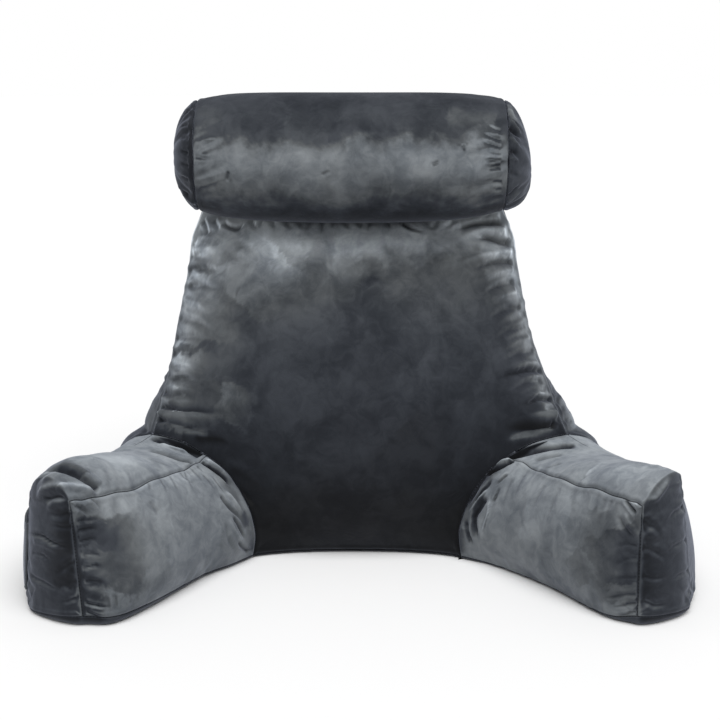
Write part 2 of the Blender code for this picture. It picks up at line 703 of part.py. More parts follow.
def neck_roll_cap(name, side, collection):
    """A round end panel of the roll, domed by the filling and gathered at its rim."""
    bm = bmesh.new()
    seam_x = ROLL_CENTRE.x + side * (ROLL_HALF + PARTING)
    rows = []
    for ring in range(CAP_RINGS + 1):
        turn = math.radians(90.0) * ring / CAP_RINGS
        reach = math.cos(turn)
        depth = CAP_DEPTHS[name] * math.sin(turn) ** CAP_DOME
        row = []
        for angle in ring_angles():
            fullness = math.sin(2.0 * turn) * reach
            gather = CAP_GATHER_DEPTH * math.cos(CAP_GATHERS * angle) * fullness
            droop = CAP_DROOPS[name] * math.sin(turn) ** 2
            point = ring_point(seam_x, angle, reach)
            row.append(point + Vector((side * (depth + gather), 0.0, -droop)))
        rows.append(row)
    rows[-1] = [sum(rows[-1][:-1], Vector()) / ROLL_AROUND] * (ROLL_AROUND + 1)
    add_panel(bm, rows)
    add_flat(bm, rows[0][:-1])
    finish_object(bm, name, collection)


# Pocket -----------------------------------------------------------------------------------------
def side_pocket(outer_panel, collection):
    """A patch pocket that stands open at its mouth, on the outside of the left arm."""
    inner_face = []
    outer_face = []
    for j in range(POCKET_ROWS + 1):
        v = j / POCKET_ROWS
        inner_row = []
        outer_row = []
        for i in range(POCKET_COLUMNS + 1):
            u = i / POCKET_COLUMNS
            across = POCKET_SPAN[0] + (POCKET_SPAN[1] - POCKET_SPAN[0]) * u
            rise = POCKET_RISE[0] + (POCKET_RISE[1] - POCKET_RISE[0]) * v
            gape = POCKET_MOUTH * v**POCKET_GAPE * crown_share(u)
            on_arm = surface_point(outer_panel, across, rise)
            point = on_arm + POCKET_FACING * (POCKET_EDGE_GAP + gape)
            inner_row.append(point)
            outer_row.append(point + POCKET_FACING * POCKET_THICKNESS)
        inner_face.append(inner_row)
        outer_face.append(outer_row)
    bm = bmesh.new()
    add_panel(bm, inner_face)
    add_panel(bm, outer_face)
    add_panel(bm, [inner_face[0], outer_face[0]])
    add_panel(bm, [inner_face[-1], outer_face[-1]])
    for column in (0, -1):
        inner_edge = [row[column] for row in inner_face]
        outer_edge = [row[column] for row in outer_face]
        add_panel(bm, [inner_edge, outer_edge])
    finish_object(bm, "side_pocket_left", collection)


def main():
    """Build the pillow."""
    for old in list(bpy.data.objects):
        bpy.data.objects.remove(old, do_unlink=True)
    collection = bpy.data.collections.new("reading_pillow_with_arms")
    bpy.context.scene.collection.children.link(collection)

    back_cushion(collection)
    outer_panels = {name: arm(name, size, collection) for name, size in ARMS.items()}
    neck_roll(collection)
    neck_roll_cap("neck_roll_cap_left", -1, collection)
    neck_roll_cap("neck_roll_cap_right", 1, collection)
    side_pocket(outer_panels["arm_left"], collection)


main()
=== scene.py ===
"""Looks of a reading pillow with arms: velvet cushions, neck roll and side pocket.

Each cushion is a closed skin of sewn panels that is stuffed by a cloth simulation, then pressed
with its folds and seams, and light and shade are painted into its colour. Metres, +Z up, the person sits at
-Y.
"""

import logging
import math
from dataclasses import dataclass, field
from functools import partial

import bmesh
import bpy
import numpy as np
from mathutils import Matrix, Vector, kdtree, noise
from mathutils.bvhtree import BVHTree


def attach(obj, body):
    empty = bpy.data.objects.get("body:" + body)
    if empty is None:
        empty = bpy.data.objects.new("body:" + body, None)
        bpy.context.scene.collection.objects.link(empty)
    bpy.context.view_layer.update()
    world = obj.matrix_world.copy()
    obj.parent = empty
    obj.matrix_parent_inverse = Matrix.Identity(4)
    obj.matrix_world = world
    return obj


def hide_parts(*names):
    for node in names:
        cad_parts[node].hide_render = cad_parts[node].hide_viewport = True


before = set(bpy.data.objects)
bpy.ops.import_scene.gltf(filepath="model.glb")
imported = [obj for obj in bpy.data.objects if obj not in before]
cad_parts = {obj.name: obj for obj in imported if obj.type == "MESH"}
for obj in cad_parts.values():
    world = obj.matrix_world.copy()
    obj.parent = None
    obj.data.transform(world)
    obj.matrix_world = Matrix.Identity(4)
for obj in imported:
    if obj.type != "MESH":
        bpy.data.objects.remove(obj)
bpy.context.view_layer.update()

log = logging.getLogger("reading_pillow")

PLAN_SHIFT = np.array((0.0013, -0.0353, 0.0))  # brings the middle of the footprint to the origin
EYE = (0.0013, -1.6143, 0.5877)  # where the front camera stands
TILT = 77.5  # its tilt from straight down, in degrees
LENS = 74.35  # its focal length in millimetres
FILM = 36.0  # the width of its film in millimetres
PICTURE = 720.0  # width and height of the front picture, in the points that the folds are given in
BODY = "root"

PARTING = 0.00015  # half of the gap that stands for a sewn join
MILLIMETRE = 0.001
PRESS = 0.0015  # how deep a fold of depth 1 is pressed, in metres
FOLD_REACH = 0.0035  # how far from its line a fold of width 1 is felt, in metres
RIPPLES = ((1.0, 0.5), (1.73, 0.35), (0.62, 0.25))  # stretch and weight of the waves in a seam's puckers
CALM_STRETCH = 6.1  # how much longer than a pucker the way between two calm places is
CLOSE = 0.00002  # points nearer than this are welded
STUFFING_FRAMES = 18  # frames over which the stuffing swells
EVENING_ROUNDS = 60  # how widely the swelling that the cut already holds is evened
SPARE_REACH = 0.022  # how far from a seam spare cloth is gathered
SHADOW_REACH = 0.006  # how far from a seam its painted shadow reaches
SEAM_HOLD = 0.003  # how far from a seam its stitches hold the cloth
WASH_WIDTH = 18.0  # a wash of nap and painted light at least this wide strays fully at its edge
FOLD_STRAY = 0.12  # share of that straying in a fold's line
SHADE_STOPS = 4.0  # stops by which a painted shade of 1 darkens
SHADE_RANGE = (-0.6, 1.0)  # the least and the most shade that counts
UNDERSIDE_PAINTED_SHADE = 0.3  # painted shade on the base panels, which face the floor: share of the painted light left there
NEIGHBOURS = 4  # places on the cloth that a point of a fold is laid between
NEARNESS = 0.01  # evens their weights where a point falls right on one of them
FOLD_SPANS = 6  # spans of a fold's line between two of its points
STRAY = 0.0095  # how far the edge of a wash strays, in metres
STRAY_FINENESS = 34.0  # how finely it does, per metre
MIX_A, MIX_B, MIX_RESULT = 6, 7, 2  # sockets of a mix node that mixes colours
TUCK = ((0.05, 0.72), (0.22, 0.45), (0.55, 0.15), (1.0, 0.0))  # a base panel's rows: way in, height left
# How the cloth behaves while it is stuffed
CLOTH = {
    "quality": 5,
    "mass": 0.25,
    "tension_stiffness": 20.0,
    "compression_stiffness": 20.0,
    "shear_stiffness": 8.0,
    "bending_stiffness": 0.4,
    "use_pressure": True,
}


# Curves and panels ------------------------------------------------------------------------------
def spread(t: np.ndarray, crowd: float) -> np.ndarray:
    """Even places from 0 to 1, made to crowd towards both ends by 0 to just under 1."""
    return t - crowd * np.sin(2.0 * np.pi * t) / (2.0 * np.pi)


def cuts(spans: int, crowd: float) -> np.ndarray:
    """Where a length from 0 to 1 is cut into spans that crowd towards both ends."""
    return spread(np.linspace(0.0, 1.0, spans + 1), crowd)


def seam_curve(points: list, spans: int, crowd: float = 0.0) -> np.ndarray:
    """A smooth curve through the points, cut into spans.

    Args:
        points: Places in metres.
        spans: How many spans the curve is cut into.
        crowd: How much the cuts crowd towards its ends.

    Returns:
        The curve's points, one row each.
    """
    points = np.array([tuple(point) for point in points], dtype=float)
    padded = np.vstack((2 * points[0] - points[1], points, 2 * points[-1] - points[-2]))
    steps = 14
    t = np.linspace(0.0, 1.0, steps, endpoint=False)[:, None]
    dense = []
    for before, start, end, after in zip(padded, padded[1:], padded[2:], padded[3:]):
        slope = (end - before) * t
        bend = (2 * before - 5 * start + 4 * end - after) * t**2
        twist = (3 * start - before - 3 * end + after) * t**3
        dense.append(0.5 * (2 * start + slope + bend + twist))
    dense = np.vstack(dense + [points[-1:]])
    travelled = way_along(dense)
    targets = travelled[-1] * cuts(spans, crowd)
    return np.stack([np.interp(targets, travelled, dense[:, k]) for k in range(3)], axis=1)


def way_along(line: np.ndarray) -> np.ndarray:
    """How far from its start each point of a line lies."""
    return np.concatenate(([0.0], np.cumsum(np.linalg.norm(np.diff(line, axis=0), axis=1))))


def joined(*curves: np.ndarray) -> np.ndarray:
    """Curves that follow each other, as one."""
    return np.vstack([curves[0]] + [curve[1:] for curve in curves[1:]])


def mirrored(points: list, side: int) -> list:
    """Points given for the +X side, on the side asked for."""
    return [(side * x, y, z) for x, y, z in points]


def wander(curve: np.ndarray, size: float, seed: int) -> np.ndarray:
    """A seam that rises and sinks a little along its way, with its ends kept."""
    share = np.linspace(0.0, 1.0, len(curve))
    waves = np.random.default_rng(seed).uniform(0.0, 2.0 * np.pi, 3)
    rise = sum(np.sin(2.0 * np.pi * share * turns + wave) for turns, wave in zip((2.3, 4.1, 6.7), waves))
    wandering = curve.copy()
    wandering[:, 2] += size * rise * np.sqrt(np.sin(np.pi * share))
    return wandering


def crown(t: np.ndarray, power: float = 2.5, steepness: float = 0.78) -> np.ndarray:
    """How much of a panel's swell shows across it: 0 at both seams, 1 in the middle."""
    return np.maximum(0.0, 1.0 - np.abs(2.0 * t - 1.0) ** power) ** steepness


def loft(left: np.ndarray, middle: np.ndarray, right: np.ndarray, across: np.ndarray) -> np.ndarray:
    """A panel between two seams that swells out to a middle line.

    Args:
        left: The seam at the start of each row.
        middle: The line that the rows swell to.
        right: The seam at the end of each row.
        across: Places of the row's points, from 0 to 1.

    Returns:
        Points by row and column.
    """
    ruled = left[:, None] + (right - left)[:, None] * across[None, :, None]
    swell = (middle - (left + right) / 2.0)[:, None]
    return ruled + swell * crown(across)[None, :, None]


def patch(seams: tuple, swell: np.ndarray, across: np.ndarray, up: np.ndarray) -> np.ndarray:
    """A panel that fills four seams.

    Args:
        seams: The bottom, top, left and right seams.
        swell: How far its middle swells out.
        across: Places of its columns, from 0 to 1.
        up: Places of its rows, from 0 to 1.

    Returns:
        Points by row and column.
    """
    bottom, top, left, right = seams
    u = across[None, :, None]
    v = up[:, None, None]
    ruled = bottom[None] * (1 - v) + top[None] * v + left[:, None] * (1 - u) + right[:, None] * u
    low = bottom[0] * (1 - u) + bottom[-1] * u
    high = top[0] * (1 - u) + top[-1] * u
    return ruled - (low * (1 - v) + high * v) + swell * crown(u) * crown(v)


def along_path(points: np.ndarray, path: np.ndarray) -> tuple:
    """Distance of points from a path, and how far along it they lie.

    Args:
        points: Places to measure, one row each.
        path: The path's points, one row each.

    Returns:
        Distances in metres, and places along the path from 0 to 1.
    """
    lengths = np.linalg.norm(np.diff(path, axis=0), axis=1)
    travelled = way_along(path)
    nearest = np.full(len(points), np.inf)
    place = np.zeros(len(points))
    for index, (start, end) in enumerate(zip(path, path[1:])):
        leg = end - start
        share = np.clip((points - start) @ leg / max(leg @ leg, 1e-12), 0.0, 1.0)
        distance = np.linalg.norm(points - start - share[:, None] * leg, axis=1)
        closer = distance < nearest
        nearest[closer] = distance[closer]
        place[closer] = (travelled[index] + share * lengths[index])[closer]
    return nearest, place / travelled[-1]


def densified(line: np.ndarray, step: float = 0.0008) -> tuple:
    """A line with points at least as close as the step, and how far along it each lies.

    Args:
        line: The line's points, one row each.
        step: The most between two points.

    Returns:
        The denser points, and their distances from the start.
    """
    travelled = way_along(line)
    even = np.linspace(0.0, travelled[-1], int(travelled[-1] / step) + 2)
    return np.stack([np.interp(even, travelled, line[:, k]) for k in range(3)], axis=1), even


def ease(t: np.ndarray) -> np.ndarray:
    """A smooth step from 0 to 1."""
    t = np.clip(t, 0.0, 1.0)
    return t * t * (3.0 - 2.0 * t)


@dataclass(frozen=True)
class Fold:
    """A crease or a swell pressed into one panel, with painted shade, or painted highlight where its shade is
    negative.
    """

    path: tuple  # its places in the front picture, from the left and from the top, in points
    width: float  # half of its width at the start, in millimetres
    depth: float = 0.0  # its depth in steps of PRESS, negative for a ridge
    shade: float = 0.1  # how much painted shade lies in it, negative for a painted highlight
    tail: float = 0.8  # share of its width that is left at the end
    fade: tuple = (0.1, 0.5)  # shares of its length over which it fades in and out
    shoulder: float = 0.3  # how high a crease's edges are raised, as a share of its depth

    def press(self, points: np.ndarray, path: np.ndarray) -> tuple:
        """How far the fold moves the cloth inwards, and how much painted shade it lays on it.

        Args:
            points: Places on the cloth, one row each.
            path: The fold's line on the cloth.

        Returns:
            Depths in metres, and painted shades.
        """
        reach = FOLD_REACH * self.width
        close = np.all((points > path.min(axis=0) - reach) & (points < path.max(axis=0) + reach), axis=1)
        depth, shade = np.zeros(len(points)), np.zeros(len(points))
        distance, place = along_path(points[close], path)
        strength = ease(place / max(self.fade[0], 1e-3)) * ease((1.0 - place) / max(self.fade[1], 1e-3))
        near = distance / (MILLIMETRE * self.width * (1.0 - (1.0 - self.tail) * place))
        core = np.exp(-(near**2))
        raised = self.shoulder if self.depth > 0.0 else 0.0
        depth[close] = PRESS * self.depth * strength * (core - raised * np.exp(-((near - 2.0) ** 2)))
        shade[close] = self.shade * strength * core
        return depth, shade


def nap_and_painted_light(path: tuple, width: float, shade: float) -> Fold:
    """A wash that darkens the velvet, or lightens it where the shade is negative: partly how its pile lies,
    partly painted light and shade.
    """
    return Fold(path, width, shade=shade, tail=1.0, fade=(0.05, 0.05))


def crinkle(path: tuple, width: float, depth: float, shade: float) -> Fold:
    """A small fold or ridge that fades out at both of its ends."""
    return Fold(path, width, depth, shade, fade=(0.2, 0.3))


def tucks(paths: tuple, width: float, depth: float, shade: float) -> tuple:
    """Tucks of one size, one for each path."""
    return tuple(Fold(path, width, depth, shade) for path in paths)


def in_picture(places: np.ndarray) -> np.ndarray:
    """Where the front camera sees places, in picture points from the left and from the top."""
    tilt = math.radians(TILT)
    away = places - np.array(EYE)
    depth = away @ np.array((0.0, math.sin(tilt), -math.cos(tilt)))
    above = away @ np.array((0.0, math.cos(tilt), math.sin(tilt)))
    scale = PICTURE * LENS / FILM / depth
    return 0.5 * PICTURE + np.stack((away[:, 0] * scale, -above * scale), axis=1)


def lay_line(path: tuple, seen: np.ndarray, pictured: np.ndarray) -> np.ndarray:
    """Lay a fold's line on the cloth.

    Args:
        path: The line's places in the front picture.
        seen: Places on the side of the cloth that faces the camera.
        pictured: Where the camera sees them.

    Returns:
        The line's points, one row each.
    """
    line = []
    for point in path:
        far = ((pictured - point) ** 2).sum(axis=1)
        nearest = np.argpartition(far, NEIGHBOURS)[:NEIGHBOURS]
        weight = 1.0 / (far[nearest] + NEARNESS)
        line.append((seen[nearest] * weight[:, None]).sum(axis=0) / weight.sum())
    return seam_curve(line, FOLD_SPANS * (len(line) - 1)) if len(line) > 2 else np.array(line)


@dataclass(frozen=True)
class SeamLook:
    """How a seam shapes the cloth on both sides of it, and the painted shadow beside it. Sizes in metres."""

    groove: float = 0.0010  # depth of the channel that the stitches pull in
    lip: float = 0.0007  # height of the cloth's edge beside it
    gather: float = 0.0010  # height of the puckers beside it
    pitch: float = 0.018  # their spacing along the seam
    reach: float = 0.009  # how far from the seam they are highest
    shadow: float = 0.03  # how much painted shadow lies beside it
    channel: float = 0.0010  # half of the channel's width
    edge: tuple = (0.0040, 0.0026)  # where beside the seam the cloth's edge is highest, and half of its width

    def wave(self, along: np.ndarray, away: np.ndarray, seed: int) -> np.ndarray:
        """Uneven puckers from -1 to 1, at places along the seam and away from it."""
        dice = np.random.default_rng(seed)
        phase = dice.uniform(0.0, 2.0 * np.pi, 5)
        slant = dice.uniform(-0.5, 0.5, 3)
        total = np.zeros(len(along))
        for index, (stretch, weight) in enumerate(RIPPLES):
            shifted = along + slant[index] * away
            total += weight * np.sin(2.0 * np.pi * shifted / (self.pitch * stretch) + phase[index])
        calm = 0.55 + 0.45 * np.sin(2.0 * np.pi * along / (self.pitch * CALM_STRETCH) + phase[3])
        return total * calm

    def shape(self, away: np.ndarray, along: np.ndarray, seed: int) -> np.ndarray:
        """How far the seam moves the cloth outwards.

        Args:
            away: Distances from the seam.
            along: Places along the seam, in metres.
            seed: Number of the seam, so that each has its own puckers.

        Returns:
            Heights in metres.
        """
        near = away / self.reach
        crest, width = self.edge
        channel = self.groove * np.exp(-((away / self.channel) ** 2))
        edge = self.lip * np.exp(-(((away - crest) / width) ** 2))
        puckers = self.gather * near * np.exp(1.0 - near) * self.wave(along, away, seed)
        return edge + puckers - channel


@dataclass
class Panel:
    """One cut piece of cloth."""

    name: str  # what it is
    rows: np.ndarray  # its points by row and column
    free: bool = True  # whether the stuffing may swell it


@dataclass
class Seam:
    """A sewn line of a cushion."""

    name: str  # what it joins
    line: np.ndarray  # its points, one row each
    look: SeamLook = SeamLook()  # how it shapes the cloth


# Velvet -----------------------------------------------------------------------------------------
def add_node(tree: bpy.types.NodeTree, kind: str, **settings: object) -> bpy.types.Node:
    """A new node with its settings.

    Args:
        tree: The tree that it goes into.
        kind: Its type.
        settings: Properties to set, and inputs by name with spaces as underscores.

    Returns:
        The node.
    """
    node = tree.nodes.new(kind)
    for name, value in settings.items():
        if hasattr(node, name):
            setattr(node, name, value)
        else:
            node.inputs[name.replace("_", " ")].default_value = value
    return node


def set_inputs(node: bpy.types.Node, values: dict) -> None:
    """Set a node's inputs by their names."""
    for name, value in values.items():
        node.inputs[name].default_value = value


def sum_node(tree: bpy.types.NodeTree, operation: str, *values: object) -> bpy.types.NodeSocket:
    """The result of a math node.

    Args:
        tree: The tree that it goes into.
        operation: What it does.
        values: Numbers or sockets.

    Returns:
        Its output socket.
    """
    node = tree.nodes.new("ShaderNodeMath")
    node.operation = operation
    for index, value in enumerate(values):
        if isinstance(value, (int, float)):
            node.inputs[index].default_value = value
        else:
            tree.links.new(value, node.inputs[index])
    return node.outputs[0]


def band_node(
    tree: bpy.types.NodeTree, value: bpy.types.NodeSocket, low: float, high: float, start: float, end: float
) -> bpy.types.NodeSocket:
    """A value moved smoothly from one range to another.

    Args:
        tree: The tree that the node goes into.
        value: The socket that is read.
        low: Where the range starts.
        high: Where the range ends.
        start: What comes out at low.
        end: What comes out at high.

    Returns:
        The output socket.
    """
    node = tree.nodes.new("ShaderNodeMapRange")
    node.interpolation_type = "SMOOTHSTEP"
    set_inputs(node, {"From Min": low, "From Max": high, "To Min": start, "To Max": end})
    tree.links.new(value, node.inputs["Value"])
    return node.outputs["Result"]


@dataclass(frozen=True)
class NapAndPaintedLightGroup:
    """The shader group that every velvet shares: mottled pile, fibres, stitches, seam lines of painted shade
    with painted highlights beside them, and the painted light and shade of the tone.
    """

    name: str = "velvet nap"  # its name in the file
    blotch_scale: float = 17.0  # patches of brushed nap, per metre
    smudge_scale: float = 62.0  # smaller smudges, per metre
    fibre_scale: float = 1150.0  # pile tufts, per metre
    stitch_length: float = 0.0034  # length of one stitch and its gap
    stitched: float = 0.64  # share of that which the thread takes
    # distances from a seam over which the painted shade of its groove ends, and the lightness there
    groove_painted_shade: tuple = (0.0003, 0.0009, 0.14, 1.0)
    lip_highlight_start: tuple = (0.0006, 0.0011, 0.0, 1.0)  # the same for the start of the painted highlight on the edge beside it
    lip_highlight_end: tuple = (0.0011, 0.0022, 0.16, 0.0)  # the same for that painted highlight's end
    thread_edge: tuple = (0.0005, 0.0009, 1.0, 0.0)  # the same for the edge of the thread
    painted_shade_tint: tuple = (0.88, 0.94, 1.14)  # tint that goes with the painted shade, where the tone is dark

    def tree(self) -> bpy.types.NodeTree:
        """The group, made once.

        Returns:
            The node tree.
        """
        made = bpy.data.node_groups.get(self.name)
        if made:
            return made
        tree = bpy.data.node_groups.new(self.name, "ShaderNodeTree")
        face = tree.interface
        for name, kind, value in (
            ("Place", "NodeSocketVector", None),
            ("Seam", "NodeSocketVector", None),
            ("Painted Light", "NodeSocketFloat", 1.0),
            ("Pile", "NodeSocketColor", (0.05, 0.05, 0.06, 1.0)),
            ("Brushed", "NodeSocketColor", (0.12, 0.12, 0.13, 1.0)),
            ("Mottle", "NodeSocketFloat", 1.0),
        ):
            socket = face.new_socket(name=name, in_out="INPUT", socket_type=kind)
            if value is not None:
                socket.default_value = value
        for name, kind in (
            ("Color", "NodeSocketColor"),
            ("Roughness", "NodeSocketFloat"),
            ("Height", "NodeSocketFloat"),
        ):
            face.new_socket(name=name, in_out="OUTPUT", socket_type=kind)
        given = tree.nodes.new("NodeGroupInput")
        result = tree.nodes.new("NodeGroupOutput")
        link = tree.links.new

        def speckle(scale: float, detail: float, rough: float, twist: float) -> bpy.types.NodeSocket:
            """A noise texture read at the place on the piece."""
            node = tree.nodes.new("ShaderNodeTexNoise")
            set_inputs(node, {"Scale": scale, "Detail": detail, "Roughness": rough, "Distortion": twist})
            link(given.outputs["Place"], node.inputs["Vector"])
            return node.outputs["Fac"]

        math_node = partial(sum_node, tree)
        blotch = band_node(tree, speckle(self.blotch_scale, 4.0, 0.55, 0.6), 0.36, 0.66, -1.0, 1.0)
        smudge = band_node(tree, speckle(self.smudge_scale, 5.0, 0.62, 0.8), 0.33, 0.68, -1.0, 1.0)
        fibre = speckle(self.fibre_scale, 2.0, 0.6, 0.0)
        mottled = math_node("MULTIPLY_ADD", smudge, 0.62, blotch)
        mottled = math_node("MULTIPLY", mottled, given.outputs["Mottle"])
        share = math_node("MULTIPLY_ADD", mottled, 0.30, 0.5)
        share = math_node("MULTIPLY_ADD", fibre, 0.30, math_node("SUBTRACT", share, 0.15))
        lying = add_node(tree, "ShaderNodeMix", data_type="RGBA", clamp_factor=True)
        link(share, lying.inputs[0])
        link(given.outputs["Pile"], lying.inputs[MIX_A])
        link(given.outputs["Brushed"], lying.inputs[MIX_B])

        parts = add_node(tree, "ShaderNodeSeparateXYZ")
        link(given.outputs["Seam"], parts.inputs[0])
        away, along = parts.outputs[0], parts.outputs[1]
        # painted shade along each seam's groove, and a painted highlight on the raised edge beside it
        line = band_node(tree, away, *self.groove_painted_shade)
        lip = band_node(tree, away, *self.lip_highlight_end)
        lip_highlight_start = band_node(tree, away, *self.lip_highlight_start)
        lit = math_node("MULTIPLY_ADD", lip, lip_highlight_start, 1.0)
        beat = math_node("FRACT", math_node("DIVIDE", along, self.stitch_length))
        stitch = math_node("LESS_THAN", beat, self.stitched)
        near = band_node(tree, away, *self.thread_edge)
        thread = math_node("MULTIPLY", stitch, near)
        # painted shade of the seam and its painted highlight, times the painted light and shade of the tone
        tone = math_node("MULTIPLY", math_node("MULTIPLY", line, lit), given.outputs["Painted Light"])
        tone = math_node("MULTIPLY_ADD", thread, 0.22, tone)
        # a bluer tint where the tone is dark with painted shade
        painted_shade_mix = add_node(tree, "ShaderNodeMix", data_type="RGBA", blend_type="MULTIPLY")
        link(band_node(tree, given.outputs["Painted Light"], 0.1, 1.1, 1.0, 0.0), painted_shade_mix.inputs[0])
        link(lying.outputs[MIX_RESULT], painted_shade_mix.inputs[MIX_A])
        painted_shade_mix.inputs[MIX_B].default_value = (*self.painted_shade_tint, 1.0)
        shaded = add_node(tree, "ShaderNodeVectorMath", operation="SCALE")
        link(painted_shade_mix.outputs[MIX_RESULT], shaded.inputs[0])
        link(tone, shaded.inputs["Scale"])
        link(shaded.outputs[0], result.inputs["Color"])
        link(band_node(tree, share, 0.2, 0.8, 0.86, 0.72), result.inputs["Roughness"])
        relief = math_node("MULTIPLY_ADD", smudge, 0.25, math_node("MULTIPLY", fibre, 0.5))
        relief = math_node("MULTIPLY_ADD", thread, 1.2, relief)
        link(relief, result.inputs["Height"])
        return tree


@dataclass(frozen=True)
class Velvet:
    """A velvet finish of one piece."""

    name: str  # the material's name
    sheen: float  # weight of the soft glow at grazing angles
    pile: tuple = (0.037, 0.0415, 0.0467)  # colour of the pile seen from above it
    brushed: tuple = (0.0873, 0.0943, 0.0997)  # colour of the nap where it lies over
    mottle: float = 1.0  # how strongly the nap is mottled
    sheen_tint: tuple = (0.70, 0.76, 0.93)  # its colour
    gloss: float = 0.18  # strength of the plain reflection

    def material(self) -> bpy.types.Material:
        """The velvet's material.

        Returns:
            A new material.
        """
        made = bpy.data.materials.new(self.name)
        made.use_nodes = True
        tree = made.node_tree
        shader = tree.nodes["Principled BSDF"]
        glow = {"Sheen Weight": self.sheen, "Sheen Roughness": 0.42, "Sheen Tint": (*self.sheen_tint, 1.0)}
        set_inputs(shader, {**glow, "Specular IOR Level": self.gloss})
        group = add_node(tree, "ShaderNodeGroup", node_tree=NapAndPaintedLightGroup().tree())
        colours = {"Pile": (*self.pile, 1.0), "Brushed": (*self.brushed, 1.0)}
        set_inputs(group, {**colours, "Mottle": self.mottle})
        place = add_node(tree, "ShaderNodeTexCoord")
        seam = add_node(tree, "ShaderNodeUVMap", uv_map="seam")
        # the tone attribute carries the painted light and shade
        tone = add_node(tree, "ShaderNodeAttribute", attribute_name="tone")
        bump = add_node(tree, "ShaderNodeBump", Strength=0.35, Distance=0.0006)
        link = tree.links.new
        link(place.outputs["Object"], group.inputs["Place"])
        link(seam.outputs["UV"], group.inputs["Seam"])
        link(tone.outputs["Fac"], group.inputs["Painted Light"])
        link(group.outputs["Color"], shader.inputs["Base Color"])
        link(group.outputs["Roughness"], shader.inputs["Roughness"])
        link(group.outputs["Height"], bump.inputs["Height"])
        link(bump.outputs["Normal"], shader.inputs["Normal"])
        return made


def under_roll(start: int, end: int, low: int, shade: float) -> Fold:
    """A tuck of the back's cloth that runs down from under the roll, from one place across to another."""
    high = 219
    halfway = ((start + end) // 2, round(high + 0.58 * (low - high)))
    return Fold(((start, high), halfway, (end, low)), 2.8, 1.3, shade)


def beside_roll_end(start: int, end: int, low: int, across: int, depth: float, shade: float) -> Fold:
    """A tuck of the roll's cloth that runs in from its right end seam."""
    seam = 502
    return Fold(((seam, start), ((seam + across) // 2, end), (across, low)), 2.2, depth, shade)


# Tucks under the roll: where each starts and ends across, how low it ends, and its shade
TUCKS_UNDER_ROLL = (
    (214, 220, 230, 0.1), (252, 258, 232, 0.13), (262, 258, 229, 0.08), (272, 276, 231, 0.12),
    (284, 294, 229, 0.14), (298, 304, 230, 0.09), (310, 304, 231, 0.1), (321, 323, 234, 0.14),
    (334, 330, 229, 0.08), (344, 352, 231, 0.13), (358, 362, 229, 0.09), (372, 366, 230, 0.09),
    (386, 392, 230, 0.1), (400, 414, 230, 0.15), (424, 432, 230, 0.1), (440, 430, 230, 0.11),
    (456, 444, 229, 0.1),
)

# Tucks beside the roll's right end: heights at the start, middle and end, how far in, depth, shade
TUCKS_BESIDE_ROLL_END = (
    (132, 128, 125, 486, 0.8, 0.09), (140, 136, 132, 480, 1.0, 0.1), (147, 144, 141, 482, 0.9, 0.1),
    (154, 152, 151, 484, 0.8, 0.08), (160, 160, 161, 482, 1.1, 0.15), (168, 168, 169, 486, 0.8, 0.09),
    (183, 183, 184, 490, 0.7, 0.08), (190, 190, 191, 494, 0.7, 0.07),
)
# Pleats of the roll's left end: heights at the rim, halfway and inwards
PLEATS_LEFT_END = (
    (112, 113, 114), (126, 126, 126), (139, 138, 138), (152, 151, 150),
    (166, 164, 163), (180, 178, 176), (196, 192, 189),
)

# Folds of each panel of each piece: path, width, depth, shade, tail, fade, shoulder --------------
# the shade of each fold is painted shade, and painted highlight where it is negative; the washes are partly
# nap and partly painted light and shade
FOLDS: dict = {}
FOLDS["arm_left", "strip"] = (
    Fold(((150, 438), (168, 443), (184, 448), (203, 456)), 4.2, 4.0, 0.85, tail=1.5, fade=(0.15, 0.05),
        shoulder=0.1),
    crinkle(((156, 444), (176, 450), (194, 456)), 3.4, -2.2, -0.16),
    Fold(((146, 449), (165, 454), (180, 459), (195, 463)), 6.0, 3.0, 0.4, tail=0.9, fade=(0.35, 0.1)),
    crinkle(((140, 456), (158, 462), (172, 468)), 2.5, 0.8, 0.1),
    Fold(((50, 470), (66, 470), (80, 476), (92, 485), (99, 491)),
        7.0, 4.6, 0.46, tail=0.6, fade=(0.14, 0.06)),
    Fold(((36, 497), (46, 489), (62, 486), (78, 488), (94, 493)), 4.6, -3.4, -0.2, fade=(0.25, 0.15)),
    crinkle(((44, 500), (58, 497), (72, 499)), 3.6, 2.4, 0.28),
    crinkle(((60, 462), (80, 462), (100, 459)), 6.0, -1.8, -0.08),
    crinkle(((36, 482), (44, 476), (54, 474)), 4.0, 1.2, 0.12),
    crinkle(((29, 532), (40, 536), (54, 544), (67, 547), (76, 545)), 1.9, 1.6, 0.34),
    crinkle(((32, 540), (46, 546), (60, 552)), 3.2, -1.2, -0.06),
    crinkle(((31, 552), (42, 556), (54, 563)), 2.2, 0.9, 0.14),
    crinkle(((30, 574), (42, 582), (58, 590)), 2.6, 1.0, 0.12),
    Fold(((78, 560), (66, 566), (56, 575)), 2.6, 0.8, 0.1),
    Fold(((72, 512), (60, 516), (46, 514)), 3.4, 1.2, 0.14),
    Fold(((74, 526), (62, 527), (50, 524)), 2.4, 0.8, 0.1),
    Fold(((82, 596), (70, 600), (58, 602)), 2.6, 0.8, 0.1),
    nap_and_painted_light(((68, 512), (66, 590)), 18.0, 0.38),
    nap_and_painted_light(((37, 478), (35, 500)), 15.0, 0.26),
    nap_and_painted_light(((46, 473), (57, 466), (70, 467), (86, 477)), 11.0, 0.4),
    nap_and_painted_light(((110, 462), (150, 462)), 22.0, -0.08),
    nap_and_painted_light(((33, 480), (30, 500)), 8.0, 0.2),
    nap_and_painted_light(((46, 480), (62, 485)), 12.0, 0.2),
)
